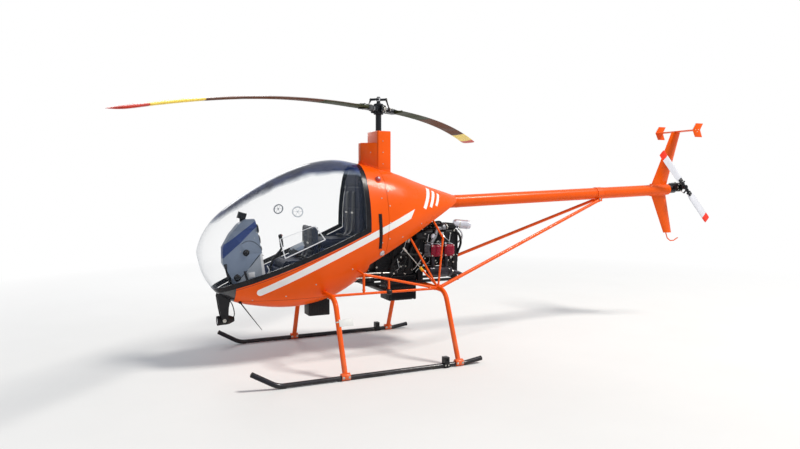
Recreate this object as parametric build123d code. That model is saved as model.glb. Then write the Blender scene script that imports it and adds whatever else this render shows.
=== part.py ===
# Light two-seat helicopter, parked on its skids.
# Millimetres. +X to the nose, +Y to port, +Z up, z = 0 under the skids.
# Shapes are placed from the rotor mast axis, and save() moves them to the model's origin.
from build123d import *
import math
import os

# rotors
ROTOR_R = 3090.0            # main rotor radius
ROTOR_AZIMUTH = 45.0        # where the port blade is parked, from the nose towards port
BLADE_CHORD = 180.0
BLADE_THICK = 20.0
BLADE_PITCH_AT = 0.3        # pitch axis, as a share of the chord from the leading edge
BLADE_CREST_AT = 0.4        # thickest place, as a share of the chord behind the pitch axis' edge
BLADE_SHARES = [0, 0.16, 0.4, 0.62, 0.82, 1.0]   # sections between the root and the tip
BLADE_ROOT = 330.0          # radius where the blade itself starts
BLADE_DROOP = 220.0         # how far a tip hangs by its own weight
BLADE_DROOP_POWER = 2.5
TEETER = 2.0                # degrees, port blade low
HUB_Z = 2190.0              # height of the teeter pin
HUB_TOP_Z = 2300.0
MAST_R = 26.0
TAIL_ROTOR_R = 520.0
TAIL_ROTOR_X = -3620.0
TAIL_ROTOR_Y = 160.0
TAIL_ROTOR_Z = 1492.0
TAIL_BLADE_ANGLE = 46.0     # parked angle of the upper tail blade above the nose direction
TAIL_BLADE_CHORD = 76.0
TAIL_BLADE_THICK = 12.0
TAIL_BLADE_ROOT = 90.0
TAIL_SPINDLE_L = 121.5      # from the tail rotor's centre into each blade
TAIL_SPINDLE_R = 15.0

# the model's origin lies under the middle of the whole machine
ROTOR_REACH = (ROTOR_R + (1 - BLADE_PITCH_AT) * BLADE_CHORD) * math.cos(math.radians(ROTOR_AZIMUTH))
TAIL_REACH = (TAIL_ROTOR_R * math.cos(math.radians(TAIL_BLADE_ANGLE))
              + TAIL_BLADE_CHORD / 2 * math.sin(math.radians(TAIL_BLADE_ANGLE)) - TAIL_ROTOR_X)
MAST_X = (TAIL_REACH - ROTOR_REACH) / 2

# pod, the body shell
POD_WALL = 10.0
GLASS_WALL = 4.0
# station x, half width, top z, height of the widest line, bottom z
POD_STATIONS = [
    (1585, 36, 1016, 965, 914),
    (1550, 112, 1106, 955, 790),
    (1480, 182, 1212, 955, 672),
    (1350, 252, 1332, 960, 566),
    (1100, 326, 1505, 980, 497),
    (800, 362, 1652, 1030, 472),
    (450, 374, 1731, 1120, 545),
    (200, 368, 1697, 1160, 690),
    (-100, 340, 1631, 1215, 860),
    (-400, 255, 1528, 1280, 1040),
    (-650, 160, 1452, 1325, 1200),
    (-747, 105, 1422, 1330, 1250),
]
POD_SPLIT = 30.0            # turn of a section's side arc, in degrees
VIEW_LOW = 300.0            # cutting shapes reach past the pod: down, up, forwards, back and sideways
VIEW_HIGH = 2100.0
VIEW_FRONT = 1700.0
VIEW_REAR = -900.0
VIEW_HALF = 600.0
SILL = [(1650, 572), (832, 855), (100, 1170)]   # points x, z of the sill's arc
SEAL_GAP = 5.0              # room between the canopy and what it closes on
RAIL_H = 38.0               # height of the canopy's black frame
ARCH_X = 220.0              # rear edge of the canopy
SEAM_X = 50.0               # joint between the cabin shell and the rear cowl
NOSE_X = 1315.0             # joint between the cabin shell and the nose cap
FIREWALL_X = 200.0
COWL_EDGE = [(FIREWALL_X, 823), (-560, 1250)]   # lower edge of the open rear shell
JOINT_GAP = 0.6             # room between two panels that meet

# canopy hinge on the starboard sill
HINGE_Y = -392.0
HINGE_STATIONS = [400.0, 840.0]
HINGE_R = 5.0
HINGE_CLEAR = 0.3
HINGE_EYE_R = 10.0
HINGE_EYE_L = 24.0

# mast fairing: x, half width of the plan's corners
FAIRING_PLAN = [(184, 28), (52, 125), (-78, 100)]
FAIRING_TOP = 1990.0
FAIRING_STEP_X = 61.0
FAIRING_STEP_Z = 1885.0
FAIRING_WALL = 6.0
FAIRING_FOOT_Z = 1500.0
MAST_ROOM = 12.0            # round the mast where it leaves the fairing

# landing gear
SKID_R = 20.0
HALF_TRACK = 752.0
SKID_REAR_X = -629.0
SKID_REAR_RISE = 23.0
SKID_TIP_X = 1312.0
SKID_TIP_RISE = 112.0
SKID_LEVEL = [-474.0, 1120.0]   # the level run between the two bends
SKID_BEND_R = 180.0
LEG_R = 21.0
LEG_TOP_Y = 375.0
LEG_TOP_Z = 600.0
LEG_KNEE_Y = 505.0
FRONT_LEG_X = 590.0
REAR_LEG_X = -414.0
LEG_BEND_R = 130.0
COLLAR_R = 29.0
COLLAR_L = 70.0
COLLAR_Z = 30.0
HANDLING_X = -290.0         # ground handling lug, ahead of each rear foot
HANDLING_Z = 70.0
HANDLING_HOLE_R = 8.0
LUG_HALF = 28.0
LUG_HALF_L = 22.0
LUG_FOOT_Z = 4.0
LUG_TOP_Z = 90.0

# frame
FRAME_R = 11.0
DIAGONAL_R = 9.0
FRAME_Y = LEG_TOP_Y
FRAME_Z = LEG_TOP_Z
SPREAD = (-490.0, 320.0, 1040.0)   # where a rear diagonal turns in towards the boom
SPREAD_TOP = (-445.0, 20.0)        # x, y of its upper end on the boom
BRACE_TOP = (-118.0, 160.0)        # x, y of the brace's end under the gearbox plate
BRACKET_END = (20.0, 250.0, 25.0)  # x and z from the upper tube's end, and y, of its arm to the pod

# tail
BOOM_R = 60.0
BOOM_WALL = 2.0
BOOM_FRONT = (-430, 1343)   # x, z of the boom's axis
BOOM_REAR = (-3500, 1465)
STRUT_R = 16.0
STRUT_REAR_X = -2520.0
STRUT_REAR_Y = 40.0
RING_HALF = 35.0            # collar round the boom that takes the struts' ends
RING_T = 5.0
RING_LUG = (22.0, 52.0, 24.0, 30.0)   # half length, half width, depth below the boom, top below its axis
CAP_L = 20.0                # tail gearbox: cap on the boom's end, neck and case
NECK_R = 44.0
NECK_DROP = 22.0
CASE_R = 47.0
CASE_INNER_Y = -50.0
CASE_OUTER = 60.0           # from the case's outer face to the tail rotor

# gaps, shafts and the cabin's inside
LEG_CLEAR = 0.3
SHAFT_CLEAR = 0.3
MAST_HOLE_R = 70.0
FIREWALL_T = 8.0
FLOOR_Z = 630.0
FLOOR_T = 8.0
FLOOR_FRONT_X = 1285.0
HINGE_ARM = 60.0
SEAT_HALF = 190.0
SEAT_REAR_X = 262.0
SEAT_STEP_X = 612.0
SEAT_FRONT_X = 940.0
FRONT_SEAT_Z = 800.0
REAR_SEAT_Z = 975.0
CUSHION_T = 72.0
CUSHION_HALF = 185.0
# cushions: name, rear x, front x, half width, height of the seat under it, top, corner radius
CUSHIONS = [
    ("front_cushion", SEAT_STEP_X + 50, SEAT_FRONT_X - 10, CUSHION_HALF, FRONT_SEAT_Z,
     FRONT_SEAT_Z + CUSHION_T, 40),
    ("front_backrest", SEAT_STEP_X + 2, SEAT_STEP_X + 48, 170.0, FRONT_SEAT_Z, 1170.0, 18),
    ("rear_cushion", SEAT_REAR_X, SEAT_STEP_X, CUSHION_HALF, REAR_SEAT_Z, REAR_SEAT_Z + CUSHION_T, 40),
]
BACK_HALF = 240.0
BACK_SHOULDER_Z = 1330.0
BACK_TOP_Z = 1655.0
BACK_T = 46.0
BACK_LIFT = 2.0             # over the cushion
BACK_CROWN_HALF = 60.0      # level top, then an arc through this point down to the shoulder
BACK_CROWN_AT = (173.0, 1560.0)
CONSOLE_HALF = 110.0
CONSOLE_TOP_HALF = 65.0
CONSOLE_NOSE_HALF = 50.0
CONSOLE_TOP_Z = 1232.0
CONSOLE_WAIST = (960.0, 1140.0)   # heights between which it narrows
CONSOLE_TAPER_X = 1200.0          # ahead of this it narrows to the nose
CONSOLE_SIDE = [(1392, 870), (1392, 1000), (1330, 1105), (1260, 1190), (1200, 1228), (1125, 1230),
                (1085, 960)]
CONSOLE_FOOT = [1040.0, 1270.0]
COMPASS_AT = (1218.0, -45.0, 1255.0)
COMPASS_BOX = (66.0, 44.0, 54.0)
COMPASS_LEAN = -18.0
PEDAL_X = 1220.0
PEDAL_Y = 160.0
PEDAL_Z = 770.0
PEDAL_PAD = (14.0, 38.0, 90.0)
PEDAL_LEAN = 15.0
PEDAL_ARM_R = 8.0
STICK_LINE = [(1005, 780), (970, 880), (893, 970), (905, 1085)]   # x, z above the boot
STICK_R = 11.0
STICK_BEND_R = 50.0
STICK_GRIP = [(893, 985), (905, 1090)]
STICK_GRIP_R = 17.0
BOOT_R = 24.0
BOOT_H = 22.0
LEVER_LINE = [(520, 800), (800, 930)]   # x, z of the lever, then of its grip
LEVER_GRIP = [(790, 925), (890, 972)]
LEVER_OUT = 30.0            # from the seat base
LEVER_R = 10.0
LEVER_GRIP_R = 16.0
LEVER_PIVOT_R = 12.0
PANEL_GAP = 0.3             # room between a loose piece and what it stands on
FLOOR_TOP = FLOOR_Z + FLOOR_T

# power plant
PLATE_Z = 1240.0
RAIL_Y = 120.0
RAIL_HALF = 12.0
BAR_R = 24.0                # cross bar, thick enough for the rails to be let into it
ROUND = 30.0                # corners of large and of small castings
SMALL_ROUND = 18.0
RAIL_Z = FRAME_Z + LEG_R + 0.3
RAIL_TOP = RAIL_Z + 2 * RAIL_HALF
RAIL_FRONT_X = 190.0
RAIL_REAR_X = -760.0
POST_X = 60.0
UPPER_TUBE_X = 290.0
UPPER_TUBE_Z = 762.0
ENGINE_FRONT_X = -300.0
ENGINE_TOP_Z = 1100.0
HOUSING_Z = 700.0           # underside of the belt housing
CYLINDER_X = [-450.0, -586.0]
CYLINDER_Z = 932.0
CYLINDER_R = 52.0
ENGINE_REAR_X = -750.0
ENGINE_HALF = 130.0
ENGINE_FOOT_Z = 780.0
ENGINE_MOUNT_X = [-720.0, -360.0]
ENGINE_MOUNT_HALF = 25.0
EXHAUST_Y = 200.0
EXHAUST_Z = 735.0
EXHAUST_R = 46.0
EXHAUST_PIPE_R = 18.0
SILENCER_X = [-390.0, -650.0]
SILENCER_DROP = 15.0       # lower at its rear end
TAIL_PIPE_X = -640.0
TAIL_PIPE_END = (-760.0, 215.0, 675.0)
COVER_Y = 258.0
COVER_BOX = (92.0, 26.0, 104.0)
INTAKE_X = [-745.0, -595.0]
INTAKE_HALF = 105.0
INTAKE_TOP_Z = 1152.0
INTAKE_CAN = [(-735, 70, 1151), (-900, 110, 1135)]
INTAKE_CAN_R = 42.0
RADIATOR_X = [-330.0, -60.0]
RADIATOR_FOOT_Z = 465.0
HOUSING_REACH_X = 80.0
HOUSING_HALF = 115.0
BATTERY_X = [88.0, 182.0]
BATTERY_TOP_Z = 745.0
GEARBOX_R = 98.0
GEARBOX_TOP_Z = 1400.0
NOSE_BEARING = (60.0, 1480.0)   # radius and top of the bearing on the gearbox
PLATE_X = [-200.0, 150.0]
PLATE_HALF = 195.0
PLATE_T = 10.0

# small pieces outside
LIGHT_AT = (108.0, 258.0, 1560.0)
LIGHT_R = 26.0
LAMP_ARM = [(1330, 380), (1440, 640)]   # x, z corners of a bracket arm
LAMP_ARM_Y = [40.0, 50.0]
LAMP_LINE = [(1300, 400), (1440, 395)]
LAMP_R = 39.7
LAMP_PIN = (1385.0, 400.0, 8.0)         # x, z and radius
BELLY_BOX = [(490, 385), (680, 560)]    # x, z corners
BELLY_HALF = 80.0

# rotor head, drawn with the blades along X
HUB_R = 44.0
HUB_HALF = 48.0
STUB_R = 15.0
MAST_FOOT_Z = 1200.0        # lower end of the mast, inside the gearbox
GRIP_INNER = 30.0
GRIP_OUTER = 350.0
GRIP_R = 24.0
CUFF_AT = 252.0
CUFF = (90.0, 74.0, 40.0)
HORN_X = 104.0
HORN_Y = 66.0
HORN_HALF = 14.0
HORN_Z = [-18.0, 4.0]       # about the teeter pin
ARM_Z = [-34.0, -14.0]      # cross arm, from the top of the head
ARM_X = 20.0
ARM_HALF = 9.0
ARM_MIDDLE_HALF = 12.0
LINK_R = 6.0

# tail rotor's hub, along Y from the rotor's plane, and the tail surfaces
TAIL_SHAFT_R = 11.0
TAIL_SHAFT_Y = [-179.0, 30.0]
TAIL_HUB_R = 26.0
TAIL_HUB_Y = [-28.0, 22.0]
TAIL_SHAFT_ROOM = 1.0       # past the shaft's inner end
UPPER_FIN = [(-3262, -3497, 1478, 44), (-3420, -3600, 1800, 40), (-3566, -3700, 2108, 30)]
LOWER_FIN = [(-3262, -3490, 1448, 44), (-3480, -3602, 978, 34)]
STAB_X = -3655.0
STAB_Z = 2116.0
STAB_CHORD = 104.0
STAB_THICK = 18.0
STAB_HALF = 261.0
END_PLATE = [(58, 2), (10, 74), (-96, 74), (-54, 2), (-88, -76), (16, -76)]
END_PLATE_T = 6.0
# tail skid, x and z from the lower fin's front corner
TAIL_SKID = [(-40, -3), (-65, -63), (-110, -93), (-160, -93), (-225, -63)]
TAIL_SKID_R = 6.0
TAIL_SKID_BEND_R = 25.0

os.makedirs("parts", exist_ok=True)


def save(name, shape):
    export_step(Pos(MAST_X, 0, 0) * shape, "parts/" + name + ".step")


def rod(start, end, radius):
    # straight round bar between two points
    a, b = Vector(start), Vector(end)
    align = (Align.CENTER, Align.CENTER, Align.MIN)
    return Plane(origin=a, z_dir=b - a) * Cylinder(radius, (b - a).length, align=align)


def bent_tube(points, radius, bend):
    # round bar along straight runs joined by arcs
    path = FilletPolyline(*points, radius=bend)
    return sweep(Plane(origin=path @ 0, z_dir=path % 0) * Circle(radius), path=path)


def block(x0, x1, y0, y1, z0, z1):
    return Pos((x0 + x1) / 2, (y0 + y1) / 2, (z0 + z1) / 2) * Box(x1 - x0, y1 - y0, z1 - z0)


def quarter_arcs(width, height):
    # radii of the side arc and the crown arc that join smoothly in one quarter of an oval
    c = math.cos(math.radians(POD_SPLIT))
    s = math.sin(math.radians(POD_SPLIT))
    det = 1 - c - s
    return (width * (1 - s) - height * c) / det, ((1 - c) * height - s * width) / det


def pod_section(x, width, top, wide, bottom):
    # closed outline of eight arcs, upright at the sides and level at the crown and keel
    edges = []
    for up, height in ((1, top - wide), (-1, wide - bottom)):
        side_r, crown_r = quarter_arcs(width, height)
        for out in (1, -1):
            side_c = (out * (width - side_r), 0)
            crown_c = (0, up * (height - crown_r))
            turn = math.radians(POD_SPLIT)
            knee = (side_c[0] + out * side_r * math.cos(turn), up * side_r * math.sin(turn))
            half = turn / 2
            side_mid = (side_c[0] + out * side_r * math.cos(half), up * side_r * math.sin(half))
            steep = (turn + math.pi / 2) / 2
            crown_mid = (out * crown_r * math.cos(steep), crown_c[1] + up * crown_r * math.sin(steep))
            edges.append(ThreePointArc((out * width, 0), side_mid, knee))
            edges.append(ThreePointArc(knee, crown_mid, (0, up * height)))
    plane = Plane(origin=(x, 0, wide), x_dir=(0, 1, 0), z_dir=(1, 0, 0))
    return plane * make_face(Curve() + edges)


def pod_solid(inset):
    # the pod's outer form, or the same form set in by a wall
    front, rear = POD_STATIONS[0][0], POD_STATIONS[-1][0]
    middle, half = (front + rear) / 2, (front - rear) / 2
    sections = []
    for x, width, top, wide, bottom in POD_STATIONS:
        station = middle + (x - middle) * (half - inset) / half
        sections.append(pod_section(station, width - inset, top - inset, wide, bottom + inset))
    return loft(sections, ruled=True)


def profile(points):
    # flat face from x, z points, in the machine's middle plane
    return make_face(Polyline(*points, close=True))


def side_box(x0, x1):
    # side view of all that lies between two stations
    return profile([(x0, VIEW_LOW), (x1, VIEW_LOW), (x1, VIEW_HIGH), (x0, VIEW_HIGH)])


def above_sill(lift):
    # side view of everything above the sill's arc, raised by the lift
    low = [(x, z + lift) for x, z in SILL]
    return make_face(Curve() + [ThreePointArc(*low),
                                Polyline(low[2], (low[2][0], VIEW_HIGH), (low[0][0], VIEW_HIGH), low[0])])


def below_cowl_edge():
    # side view of what is open under the rear shell
    (x0, z0), (x1, z1) = COWL_EDGE
    return profile([(x0, z0), (x1, z1), (x1, VIEW_LOW), (x0, VIEW_LOW)])


def across(face, half_width=VIEW_HALF):
    return extrude(Plane.XZ * face, half_width, both=True)


def cabin_shell(shell):
    # lower pod from the nose joint to the rear seam, with the ring behind the canopy
    view = side_box(SEAM_X + JOINT_GAP, NOSE_X - JOINT_GAP)
    view = view - (above_sill(0) & side_box(ARCH_X - SEAL_GAP, VIEW_FRONT)) - below_cowl_edge()
    cabin = shell & across(view)
    port, starboard = [(FRONT_LEG_X, side * VIEW_HALF, LEG_TOP_Z) for side in (1, -1)]
    return cabin - rod(port, starboard, LEG_R + LEG_CLEAR)


def nose_cap(shell):
    return shell & across(side_box(NOSE_X, VIEW_FRONT) - above_sill(0))


def rear_cowl(shell):
    cowl = shell & across(side_box(VIEW_REAR, SEAM_X) - below_cowl_edge())
    boom_hole = boom_rod(BOOM_R + JOINT_GAP)
    mast_hole = rod((0, 0, MAST_FOOT_Z), (0, 0, FAIRING_STEP_Z), MAST_HOLE_R)
    return cowl - boom_hole - mast_hole


def canopy_frame(shell):
    outside = above_sill(SEAL_GAP) & side_box(ARCH_X, VIEW_FRONT)
    inside = above_sill(SEAL_GAP + RAIL_H) & side_box(ARCH_X + RAIL_H, VIEW_FRONT)
    return shell & across(outside - inside)


def canopy_glass(pod):
    view = above_sill(SEAL_GAP + RAIL_H) & side_box(ARCH_X + RAIL_H, VIEW_FRONT)
    return (pod - pod_solid(GLASS_WALL)) & across(view)


def firewall(inner):
    return inner & block(FIREWALL_X, FIREWALL_X + FIREWALL_T, -VIEW_HALF, VIEW_HALF, VIEW_LOW, VIEW_HIGH)


def sill_z(x):
    # height of the sill's arc at a station
    arc = ThreePointArc(*SILL)
    centre = arc.arc_center
    return centre.Y + math.copysign(math.sqrt(arc.radius ** 2 - (x - centre.X) ** 2), SILL[1][1] - centre.Y)


def hinge_point(x):
    return Vector(x, HINGE_Y, sill_z(x) + SEAL_GAP / 2)


def hinge_direction():
    return (hinge_point(HINGE_STATIONS[1]) - hinge_point(HINGE_STATIONS[0])).normalized()


def hinge_rod(x, radius, length, offset=0.0):
    along = hinge_direction()
    middle = hinge_point(x) + along * offset
    return rod(middle - along * (length / 2), middle + along * (length / 2), radius)


def hinge_arm(x, length, offset, lift):
    # flat arm from the hinge line in to the pod's side, above or below the sill gap
    along = hinge_direction()
    plane = Plane(origin=hinge_point(x) + along * offset, x_dir=(0, 1, 0), z_dir=along)
    thick = HINGE_EYE_R - SEAL_GAP / 2
    return plane * (Pos(HINGE_ARM / 2, lift * (SEAL_GAP / 2 + thick / 2), 0) * Box(HINGE_ARM, thick, length))


def canopy_pins(pod):
    # two hinge pins, each between two knuckles that stand on the cabin shell
    parts = []
    for x in HINGE_STATIONS:
        pin = hinge_rod(x, HINGE_R, HINGE_EYE_L * 3 - 1)
        for side in (1, -1):
            pin = pin + hinge_rod(x, HINGE_EYE_R, HINGE_EYE_L - 1, side * HINGE_EYE_L)
            pin = pin + hinge_arm(x, HINGE_EYE_L - 1, side * HINGE_EYE_L, hinge_down())
        parts.append(pin - pod)
    return parts


def canopy_eyes(pod):
    parts = []
    for x in HINGE_STATIONS:
        eye = hinge_rod(x, HINGE_EYE_R, HINGE_EYE_L - 1) + hinge_arm(x, HINGE_EYE_L - 1, 0, -hinge_down())
        parts.append(eye - pod - hinge_rod(x, HINGE_R + HINGE_CLEAR, HINGE_EYE_L * 3))
    return parts


def hinge_down():
    # sign of the hinge plane's own y axis that points down
    plane = Plane(origin=(0, 0, 0), x_dir=(0, 1, 0), z_dir=hinge_direction())
    return 1 if plane.y_dir.Z < 0 else -1


def cabin_floor(inner):
    rear_x = FIREWALL_X + FIREWALL_T + PANEL_GAP
    return inner & block(rear_x, FLOOR_FRONT_X, -VIEW_HALF, VIEW_HALF, FLOOR_Z, FLOOR_TOP)


def seat_box(inner):
    # stepped base: the rear seat sits higher than the front one, and its foot follows the pod
    foot = FLOOR_TOP + PANEL_GAP
    front = block(SEAT_STEP_X, SEAT_FRONT_X, -SEAT_HALF, SEAT_HALF, foot, FRONT_SEAT_Z)
    rear = block(SEAT_REAR_X, SEAT_STEP_X, -SEAT_HALF, SEAT_HALF, foot, REAR_SEAT_Z)
    return (front + rear) & inner


def cushion(x0, x1, half, z0, z1, soft):
    return fillet(block(x0, x1, -half, half, z0, z1).edges().filter_by(Axis.Z), soft)


def rear_backrest():
    # tall panel with a round top
    foot = REAR_SEAT_Z + CUSHION_T + BACK_LIFT
    shoulder, crown = (BACK_HALF, BACK_SHOULDER_Z), (BACK_CROWN_HALF, BACK_TOP_Z)
    face = make_face(Curve() + [
        Polyline((-BACK_HALF, BACK_SHOULDER_Z), (-BACK_HALF, foot), (BACK_HALF, foot), shoulder),
        ThreePointArc(shoulder, BACK_CROWN_AT, crown),
        Line(crown, (-BACK_CROWN_HALF, BACK_TOP_Z)),
        ThreePointArc((-BACK_CROWN_HALF, BACK_TOP_Z), (-BACK_CROWN_AT[0], BACK_CROWN_AT[1]),
                      (-BACK_HALF, BACK_SHOULDER_Z))])
    return extrude(facing_nose(FIREWALL_X + FIREWALL_T + PANEL_GAP) * face, BACK_T)


def facing_nose(x):
    # plane across the machine at a station, with x to port and y up
    return Plane(origin=(x, 0, 0), x_dir=(0, 1, 0), z_dir=(1, 0, 0))


def console_front():
    # view of the console from the nose: upright sides, a waist and a round top
    half, top_half = CONSOLE_HALF, CONSOLE_TOP_HALF
    waist_z, round_z = CONSOLE_WAIST
    outline = [(-top_half, round_z), (-half, waist_z), (-half, VIEW_LOW), (half, VIEW_LOW), (half, waist_z),
               (top_half, round_z)]
    crown = ThreePointArc((top_half, round_z), (0, CONSOLE_TOP_Z), (-top_half, round_z))
    return make_face(Curve() + [Polyline(*outline), crown])


def instrument_console():
    # pedestal that narrows to a round top and to the nose, so that the canopy's rail swings past it
    foot = FLOOR_TOP + PANEL_GAP
    half, nose_half = CONSOLE_HALF, CONSOLE_NOSE_HALF
    rear_x, nose_x = CONSOLE_FOOT[0], CONSOLE_SIDE[0][0]
    side = profile(CONSOLE_SIDE + [(x, foot) for x in CONSOLE_FOOT])
    plan = profile([(rear_x, half), (CONSOLE_TAPER_X, half), (nose_x, nose_half), (nose_x, -nose_half),
                    (CONSOLE_TAPER_X, -half), (rear_x, -half)])
    front = extrude(facing_nose(rear_x) * console_front(), nose_x - rear_x)
    return across(side, half) & front & (Pos(0, 0, foot) * extrude(plan, CONSOLE_TOP_Z - foot))


def compass():
    # box on a short foot that stands on the console
    x, y, z = COMPASS_AT
    foot = Pos(x, y, z - COMPASS_BOX[2]) * Box(COMPASS_BOX[0] / 2, COMPASS_BOX[1] / 2, 2 * COMPASS_BOX[2])
    return foot + Pos(x, y, z) * Rot(0, COMPASS_LEAN, 0) * Box(*COMPASS_BOX)


def upright(points, y=0.0):
    # x, z points in an upright plane to places in space
    return [(x, y, z) for x, z in points]


def cyclic_stick():
    foot_x = STICK_LINE[0][0]
    foot = (foot_x, 0, FLOOR_TOP + PANEL_GAP)
    stick = bent_tube([foot] + upright(STICK_LINE), STICK_R, STICK_BEND_R)
    boot = rod(foot, (foot_x, 0, foot[2] + BOOT_H), BOOT_R)
    return stick + boot + rod(*upright(STICK_GRIP), STICK_GRIP_R)


def collective_lever():
    # lever beside the front seat, on a pivot that stands out of the seat base
    y = SEAT_HALF + LEVER_OUT
    pivot_x, pivot_z = LEVER_LINE[0]
    inner, outer = [(pivot_x, end, pivot_z) for end in (SEAT_HALF + PANEL_GAP, y + LEVER_PIVOT_R)]
    lever = rod(*upright(LEVER_LINE, y), LEVER_R) + rod(*upright(LEVER_GRIP, y), LEVER_GRIP_R)
    return lever + rod(inner, outer, LEVER_PIVOT_R)


def pedals():
    parts = []
    for side in (1, -1):
        y = side * PEDAL_Y
        arm = rod((PEDAL_X, y, FLOOR_TOP + PANEL_GAP), (PEDAL_X, y, PEDAL_Z), PEDAL_ARM_R)
        pad = Pos(PEDAL_X + PEDAL_PAD[0] / 2, y, PEDAL_Z) * Rot(0, PEDAL_LEAN, 0) * Box(*PEDAL_PAD)
        parts.append(arm + pad)
    return parts


def mast_fairing(pod):
    # upright wedge around the mast, stepped down at the front
    def prism(shrink, top):
        side = [(x, w - shrink) for x, w in FAIRING_PLAN]
        side[0] = (side[0][0] - shrink, side[0][1])
        side[-1] = (side[-1][0] + shrink, side[-1][1])
        outline = side + [(x, -w) for x, w in reversed(side)]
        return extrude(Pos(0, 0, FAIRING_FOOT_Z) * profile(outline), top - FAIRING_FOOT_Z)

    def step(inset):
        low_x, low_z = FAIRING_STEP_X - inset, FAIRING_STEP_Z - inset
        return block(low_x, VIEW_FRONT, -VIEW_HALF, VIEW_HALF, low_z, VIEW_HIGH)

    outer = prism(0, FAIRING_TOP) - step(0)
    inner = prism(FAIRING_WALL, FAIRING_TOP - FAIRING_WALL) - step(FAIRING_WALL)
    mast_hole = rod((0, 0, FAIRING_STEP_Z), (0, 0, VIEW_HIGH), MAST_R + MAST_ROOM)
    return outer - inner - mast_hole - pod


def boom_rod(radius, front=BOOM_FRONT, rear=BOOM_REAR):
    return rod((front[0], 0, front[1]), (rear[0], 0, rear[1]), radius)


def boom_z(x):
    share = (x - BOOM_FRONT[0]) / (BOOM_REAR[0] - BOOM_FRONT[0])
    return BOOM_FRONT[1] + share * (BOOM_REAR[1] - BOOM_FRONT[1])


def boom_point(x):
    # x, z of a place on the boom's axis
    return (x, boom_z(x))


def tail_boom():
    front, rear = boom_point(BOOM_FRONT[0] + BOOM_R), boom_point(BOOM_REAR[0] - BOOM_R)
    return boom_rod(BOOM_R) - boom_rod(BOOM_R - BOOM_WALL, front, rear)


def boom_collar():
    # ring round the boom with one lug below it for both struts
    x, z = boom_point(STRUT_REAR_X)
    half_l, half_w, depth, top = RING_LUG
    ring = boom_rod(BOOM_R + RING_T, boom_point(x + RING_HALF), boom_point(x - RING_HALF))
    lug = block(x - half_l, x + half_l, -half_w, half_w, z - BOOM_R - depth, z - top)
    return ring + lug - boom_rod(BOOM_R + PANEL_GAP)


def foil_face(x_lead, x_trail, z, thick):
    # lens section of a fin, level
    middle = (x_lead + x_trail) / 2
    outline = Curve() + [ThreePointArc((x_lead, 0), (middle, thick / 2), (x_trail, 0)),
                         ThreePointArc((x_trail, 0), (middle, -thick / 2), (x_lead, 0))]
    return Pos(0, 0, z) * make_face(outline)


def fin(stations, cutters):
    return loft([foil_face(*row) for row in stations]) - cutters


def stabiliser():
    # level bar across the fin's top with a chevron plate at each end
    bar = across(Pos(STAB_X, STAB_Z) * Ellipse(STAB_CHORD / 2, STAB_THICK / 2), STAB_HALF)
    plate = profile([(STAB_X + a, STAB_Z + b) for a, b in END_PLATE])
    for side in (1, -1):
        bar = bar + Pos(0, side * STAB_HALF, 0) * across(plate, END_PLATE_T / 2)
    return bar


def tail_skid():
    # bent wire guard under the lower fin
    front_x, _, low_z, _ = LOWER_FIN[-1]
    return bent_tube([(front_x + a, 0, low_z + b) for a, b in TAIL_SKID], TAIL_SKID_R, TAIL_SKID_BEND_R)


def tail_gearbox():
    # cap on the boom's end, a neck, and the housing that the tail rotor's shaft runs in
    x, z = TAIL_ROTOR_X, TAIL_ROTOR_Z
    end_x = BOOM_REAR[0]
    cap = boom_rod(BOOM_R, boom_point(end_x - PANEL_GAP), boom_point(end_x - CAP_L))
    neck = boom_rod(NECK_R, boom_point(end_x - CAP_L / 2), (x, z - NECK_DROP))
    case = rod((x, CASE_INNER_Y, z), (x, TAIL_ROTOR_Y - CASE_OUTER, z), CASE_R)
    shaft_room = tail_rod(TAIL_SHAFT_Y[0] - TAIL_SHAFT_ROOM, 0, TAIL_SHAFT_R + SHAFT_CLEAR)
    return cap + neck + case - shaft_room


def tail_rod(y0, y1, radius):
    # round bar on the tail rotor's axis, measured from the rotor's plane
    x, y, z = TAIL_ROTOR_X, TAIL_ROTOR_Y, TAIL_ROTOR_Z
    return rod((x, y + y0, z), (x, y + y1, z), radius)


def tail_hub():
    centre = Vector(TAIL_ROTOR_X, TAIL_ROTOR_Y, TAIL_ROTOR_Z)
    hub = tail_rod(*TAIL_SHAFT_Y, TAIL_SHAFT_R) + tail_rod(*TAIL_HUB_Y, TAIL_HUB_R)
    angle = math.radians(TAIL_BLADE_ANGLE)
    spindle = Vector(math.cos(angle), 0, math.sin(angle)) * TAIL_SPINDLE_L
    return hub + rod(centre - spindle, centre + spindle, TAIL_SPINDLE_R)


def tail_blades(hub):
    blades = []
    for turn in (0, 180):
        face = Plane.YZ * Ellipse(TAIL_BLADE_CHORD / 2, TAIL_BLADE_THICK / 2)
        blade = Pos(TAIL_BLADE_ROOT, 0, 0) * extrude(face, TAIL_ROTOR_R - TAIL_BLADE_ROOT)
        # local y is the chord and z the thickness: stand the blade in the rotor's upright plane
        blade = Rot(0, -(TAIL_BLADE_ANGLE + turn), 0) * Rot(90, 0, 0) * blade
        blades.append(Pos(TAIL_ROTOR_X, TAIL_ROTOR_Y, TAIL_ROTOR_Z) * blade - hub)
    return blades


def blade_height(radius, side):
    # side is +1 on the low, port blade
    droop = BLADE_DROOP * (radius / ROTOR_R) ** BLADE_DROOP_POWER
    return HUB_Z - side * radius * math.tan(math.radians(TEETER)) - droop


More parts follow.
